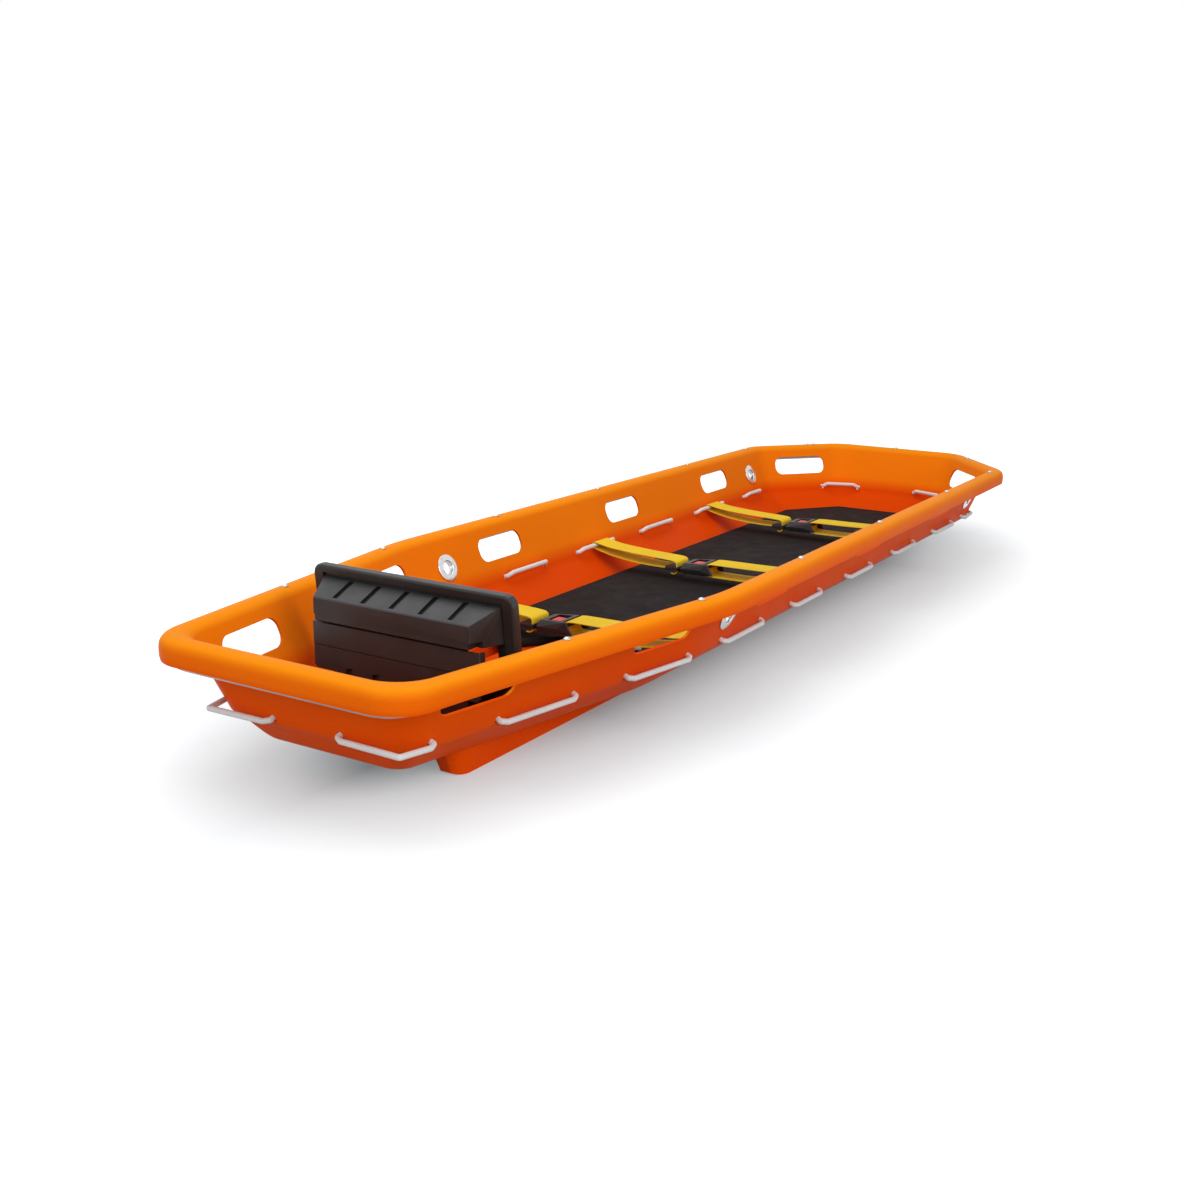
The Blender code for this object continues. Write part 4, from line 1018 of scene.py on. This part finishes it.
def strap(name, path, x, closed, look):
    """Webbing with a rounded section along a path, and UVs across and along it; also its length."""
    section = webbing_section()
    points = len(section)
    count = len(path)
    bm = bmesh.new()
    uv = bm.loops.layers.uv.new("strap")
    rows = []
    for i, here in enumerate(path):
        if closed:
            along = path[(i + 1) % count] - path[i - 1]
        else:
            along = path[min(i + 1, count - 1)] - path[max(i - 1, 0)]
        along.normalize()
        out = Vector((0, -along.z, along.y))
        rows.append([bm.verts.new((x + a, here.y + out.y * b, here.z + out.z * b)) for a, b in section])
    gone = 0.0
    for i in range(count if closed else count - 1):
        j = (i + 1) % count
        length = (path[j] - path[i]).length
        for k in range(points):
            m = (k + 1) % points
            face = bm.faces.new((rows[i][k], rows[i][m], rows[j][m], rows[j][k]))
            corners = ((k, gone), (m, gone), (m, gone + length), (k, gone + length))
            for loop, (corner, metre) in zip(face.loops, corners):
                loop[uv].uv = (section[corner][0] / WEBBING_WIDTH + 0.5, metre)
        gone += length
    if not closed:
        bm.faces.new(rows[0])
        bm.faces.new(reversed(rows[-1]))
    bmesh.ops.recalc_face_normals(bm, faces=bm.faces)
    return new_piece(name, mesh_from(name, bm), look), gone


def far_route(y, z):
    """Left strap: from the tongue's bar up and out to the rope, round it and back to the tongue."""
    upper = [(0.0660, 0.0668), (0.0595, 0.0664), (0.0558, 0.0682), (0.0550, 0.0715), (0.0550, 0.0858),
             (0.0562, 0.0888), (0.0612, 0.0912), (0.0800, 0.0926), (0.1150, 0.0938), (0.1600, 0.0962),
             (0.2050, 0.1000)]
    lower = [(0.2000, 0.0850), (0.1500, 0.0785), (0.1100, 0.0766), (0.0792, 0.0765)]
    return rounded_path(upper + loop_arc(y, z, 1) + lower, False)


def near_route(y, z):
    """Right strap's closed loop: over the buckle's bar, out to the rope, round it and back."""
    over_bar = [(-0.0230, 0.0946), (-0.0125, 0.0938), (-0.0086, 0.0922), (-0.0070, 0.0890),
                (-0.0072, 0.0780), (-0.0092, 0.0738), (-0.0140, 0.0718), (-0.0240, 0.0712)]
    lower = [(-0.1000, 0.0722), (-0.1600, 0.0775), (-0.2050, 0.0860)]
    upper = [(-0.2050, 0.0992), (-0.1600, 0.0972), (-0.1000, 0.0956)]
    return rounded_path(over_bar + lower + loop_arc(y, z, -1)[::-1] + upper, True)


def belts(look):
    for index, x in enumerate(BELT_X):
        label = "belt_%d_" % (index + 1)
        y, z = rope_loop(x)
        far, length = strap(label + "far_strap", far_route(y, z), x, False, look)
        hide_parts(label + "left_webbing")
        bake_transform(far)
        near, length = strap(label + "near_strap", near_route(y, z), x, True, look)
        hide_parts(label + "right_webbing")
        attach(near, "basket")


def soften(node, width):
    """Rounds a carried-over node's edges so that they catch the light."""
    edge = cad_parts[node].modifiers.new("soft_edge", "BEVEL")
    edge.width = width
    edge.segments = SOFT_SEGMENTS
    edge.limit_method = "ANGLE"
    edge.angle_limit = SOFT_ANGLE
    edge.harden_normals = True


def dress_solids():
    """Materials and soft edges of the nodes that are carried over from the frame."""
    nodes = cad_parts
    red = red_plastic()
    nylon = black_plastic(*NYLON)
    for index in range(len(BELT_X)):
        label = "belt_%d_" % (index + 1)
        for fitting in ("buckle", "tongue"):
            give(nodes[label + fitting], nylon)
            soften(label + fitting, FITTING_EDGE)
        give(nodes[label + "button"], red)
    housing = black_plastic(*HOUSING)
    for name in FOOTREST_PIECES:
        give(nodes["footrest_" + name], housing)
    for name, width in FOOTREST_EDGES.items():
        soften("footrest_" + name, width)


def make_camera():
    pitch, yaw, roll = (math.radians(a) for a in (CAMERA_PITCH, CAMERA_YAW, CAMERA_ROLL))
    ahead = Vector((math.cos(yaw) * math.cos(pitch), math.sin(yaw) * math.cos(pitch), -math.sin(pitch)))
    right = Vector((math.sin(yaw), -math.cos(yaw), 0))
    up = right.cross(ahead)
    tilted_right = math.cos(roll) * right + math.sin(roll) * up
    tilted_up = math.cos(roll) * up - math.sin(roll) * right
    lens = bpy.data.cameras.new("camera")
    lens.sensor_width = SENSOR_WIDTH
    lens.lens = PHOTO_FOCAL * SENSOR_WIDTH / PHOTO_SIZE
    lens.clip_end = CAMERA_RANGE
    camera = bpy.data.objects.new("camera", lens)
    place = Matrix((tilted_right, tilted_up, -ahead)).transposed().to_4x4()
    place.translation = CAMERA_PLACE
    camera.matrix_world = place
    bpy.context.scene.collection.objects.link(camera)
    bpy.context.scene.camera = camera


def make_lights():
    for name, place, size, power in LAMPS:
        lamp = bpy.data.lights.new(name, "AREA")
        lamp.shape = "RECTANGLE"
        lamp.size, lamp.size_y = size
        lamp.energy = power
        made = bpy.data.objects.new(name, lamp)
        made.location = place
        towards = Vector(LAMP_TARGET) - Vector(place)
        made.rotation_euler = towards.to_track_quat("-Z", "Y").to_euler()
        bpy.context.scene.collection.objects.link(made)


def seen_ray(n):
    """1 for rays that should meet a white background: from the camera, in gloss and through glass."""
    path = n.add("LightPath")
    gloss_or_glass = n.math("MAXIMUM", path.outputs["Is Glossy Ray"], path.outputs["Is Transmission Ray"])
    return n.math("MAXIMUM", path.outputs["Is Camera Ray"], gloss_or_glass)


def make_world():
    world = bpy.data.worlds.new("studio")
    bpy.context.scene.world = world
    world.use_nodes = True
    n = Nodes(world.node_tree)
    background = n.tree.nodes["Background"]
    n.set(background, "Color", (1, 1, 1, 1))
    n.set(background, "Strength", n.remap(seen_ray(n), 0.0, 1.0, WORLD_LEVEL, 1.0))


def floor_glow(n):
    """Colour of the floor's own light, which grows with the distance from the object: its low, less red
    light near the object is a painted shadow.
    """
    place = n.add("SeparateXYZ", {0: n.add("TexCoord").outputs["Object"]})
    from_middle = n.math("ABSOLUTE", n.math("SUBTRACT", place.outputs["X"], FLOOR_MIDDLE_X))
    narrowing = n.math("MAXIMUM", n.math("SUBTRACT", from_middle, FLOOR_TAPER[0]), 0.0)
    sideways = n.math("ADD", n.math("ABSOLUTE", place.outputs["Y"]),
                      n.math("MULTIPLY", narrowing, FLOOR_TAPER[1]))
    squares = []
    for distance, reach in zip((from_middle, sideways), FLOOR_REACH):
        beyond = n.math("MAXIMUM", n.math("SUBTRACT", distance, reach), 0.0)
        squares.append(n.math("POWER", beyond, 2.0))
    away = n.math("SQRT", n.math("ADD", *squares))
    colour = FLOOR_GLOW[0][1]
    for (near, _), (far, tint) in zip(FLOOR_GLOW, FLOOR_GLOW[1:]):
        colour = n.blend(n.share(away, near, far), colour, tint)
    return colour


def make_floor():
    """A pale floor that looks white where it is fully lit and keeps the object's cast shadow, with a painted
    shadow from its own light near the object.
    """
    bpy.ops.mesh.primitive_plane_add(size=FLOOR_SIZE, location=(0, 0, 0))
    floor = bpy.context.object
    floor.name = "studio_floor"
    n = Material("studio_floor", FLOOR_COLOUR, 1.0)
    n.set(n.shader, "Specular IOR Level", 0.0)
    glow = n.add("Emission", {"Color": floor_glow(n), "Strength": seen_ray(n)})
    both = n.add("AddShader", {0: n.shader.outputs[0], 1: glow.outputs[0]})
    n.set(n.tree.nodes["Material Output"], "Surface", both.outputs[0])
    floor.data.materials.append(n.material)


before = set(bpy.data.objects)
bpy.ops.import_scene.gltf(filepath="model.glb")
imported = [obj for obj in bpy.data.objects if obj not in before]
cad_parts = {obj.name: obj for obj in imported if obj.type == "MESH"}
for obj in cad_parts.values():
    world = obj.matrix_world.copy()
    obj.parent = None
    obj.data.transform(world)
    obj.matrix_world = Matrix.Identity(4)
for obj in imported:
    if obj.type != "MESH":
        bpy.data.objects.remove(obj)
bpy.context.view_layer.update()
bpy.context.scene.view_settings.view_transform = "Standard"
make_camera()
make_world()
make_lights()
make_floor()
dress_solids()
moulded_shell(orange_plastic())
rim_pipe(drawn_aluminium())
lacing_rope(white_rope())
eyelets(polished_steel())
rivets(rivet_aluminium())
mattress(coated_foam())
mat_label(grey_vinyl())
belts(yellow_webbing())
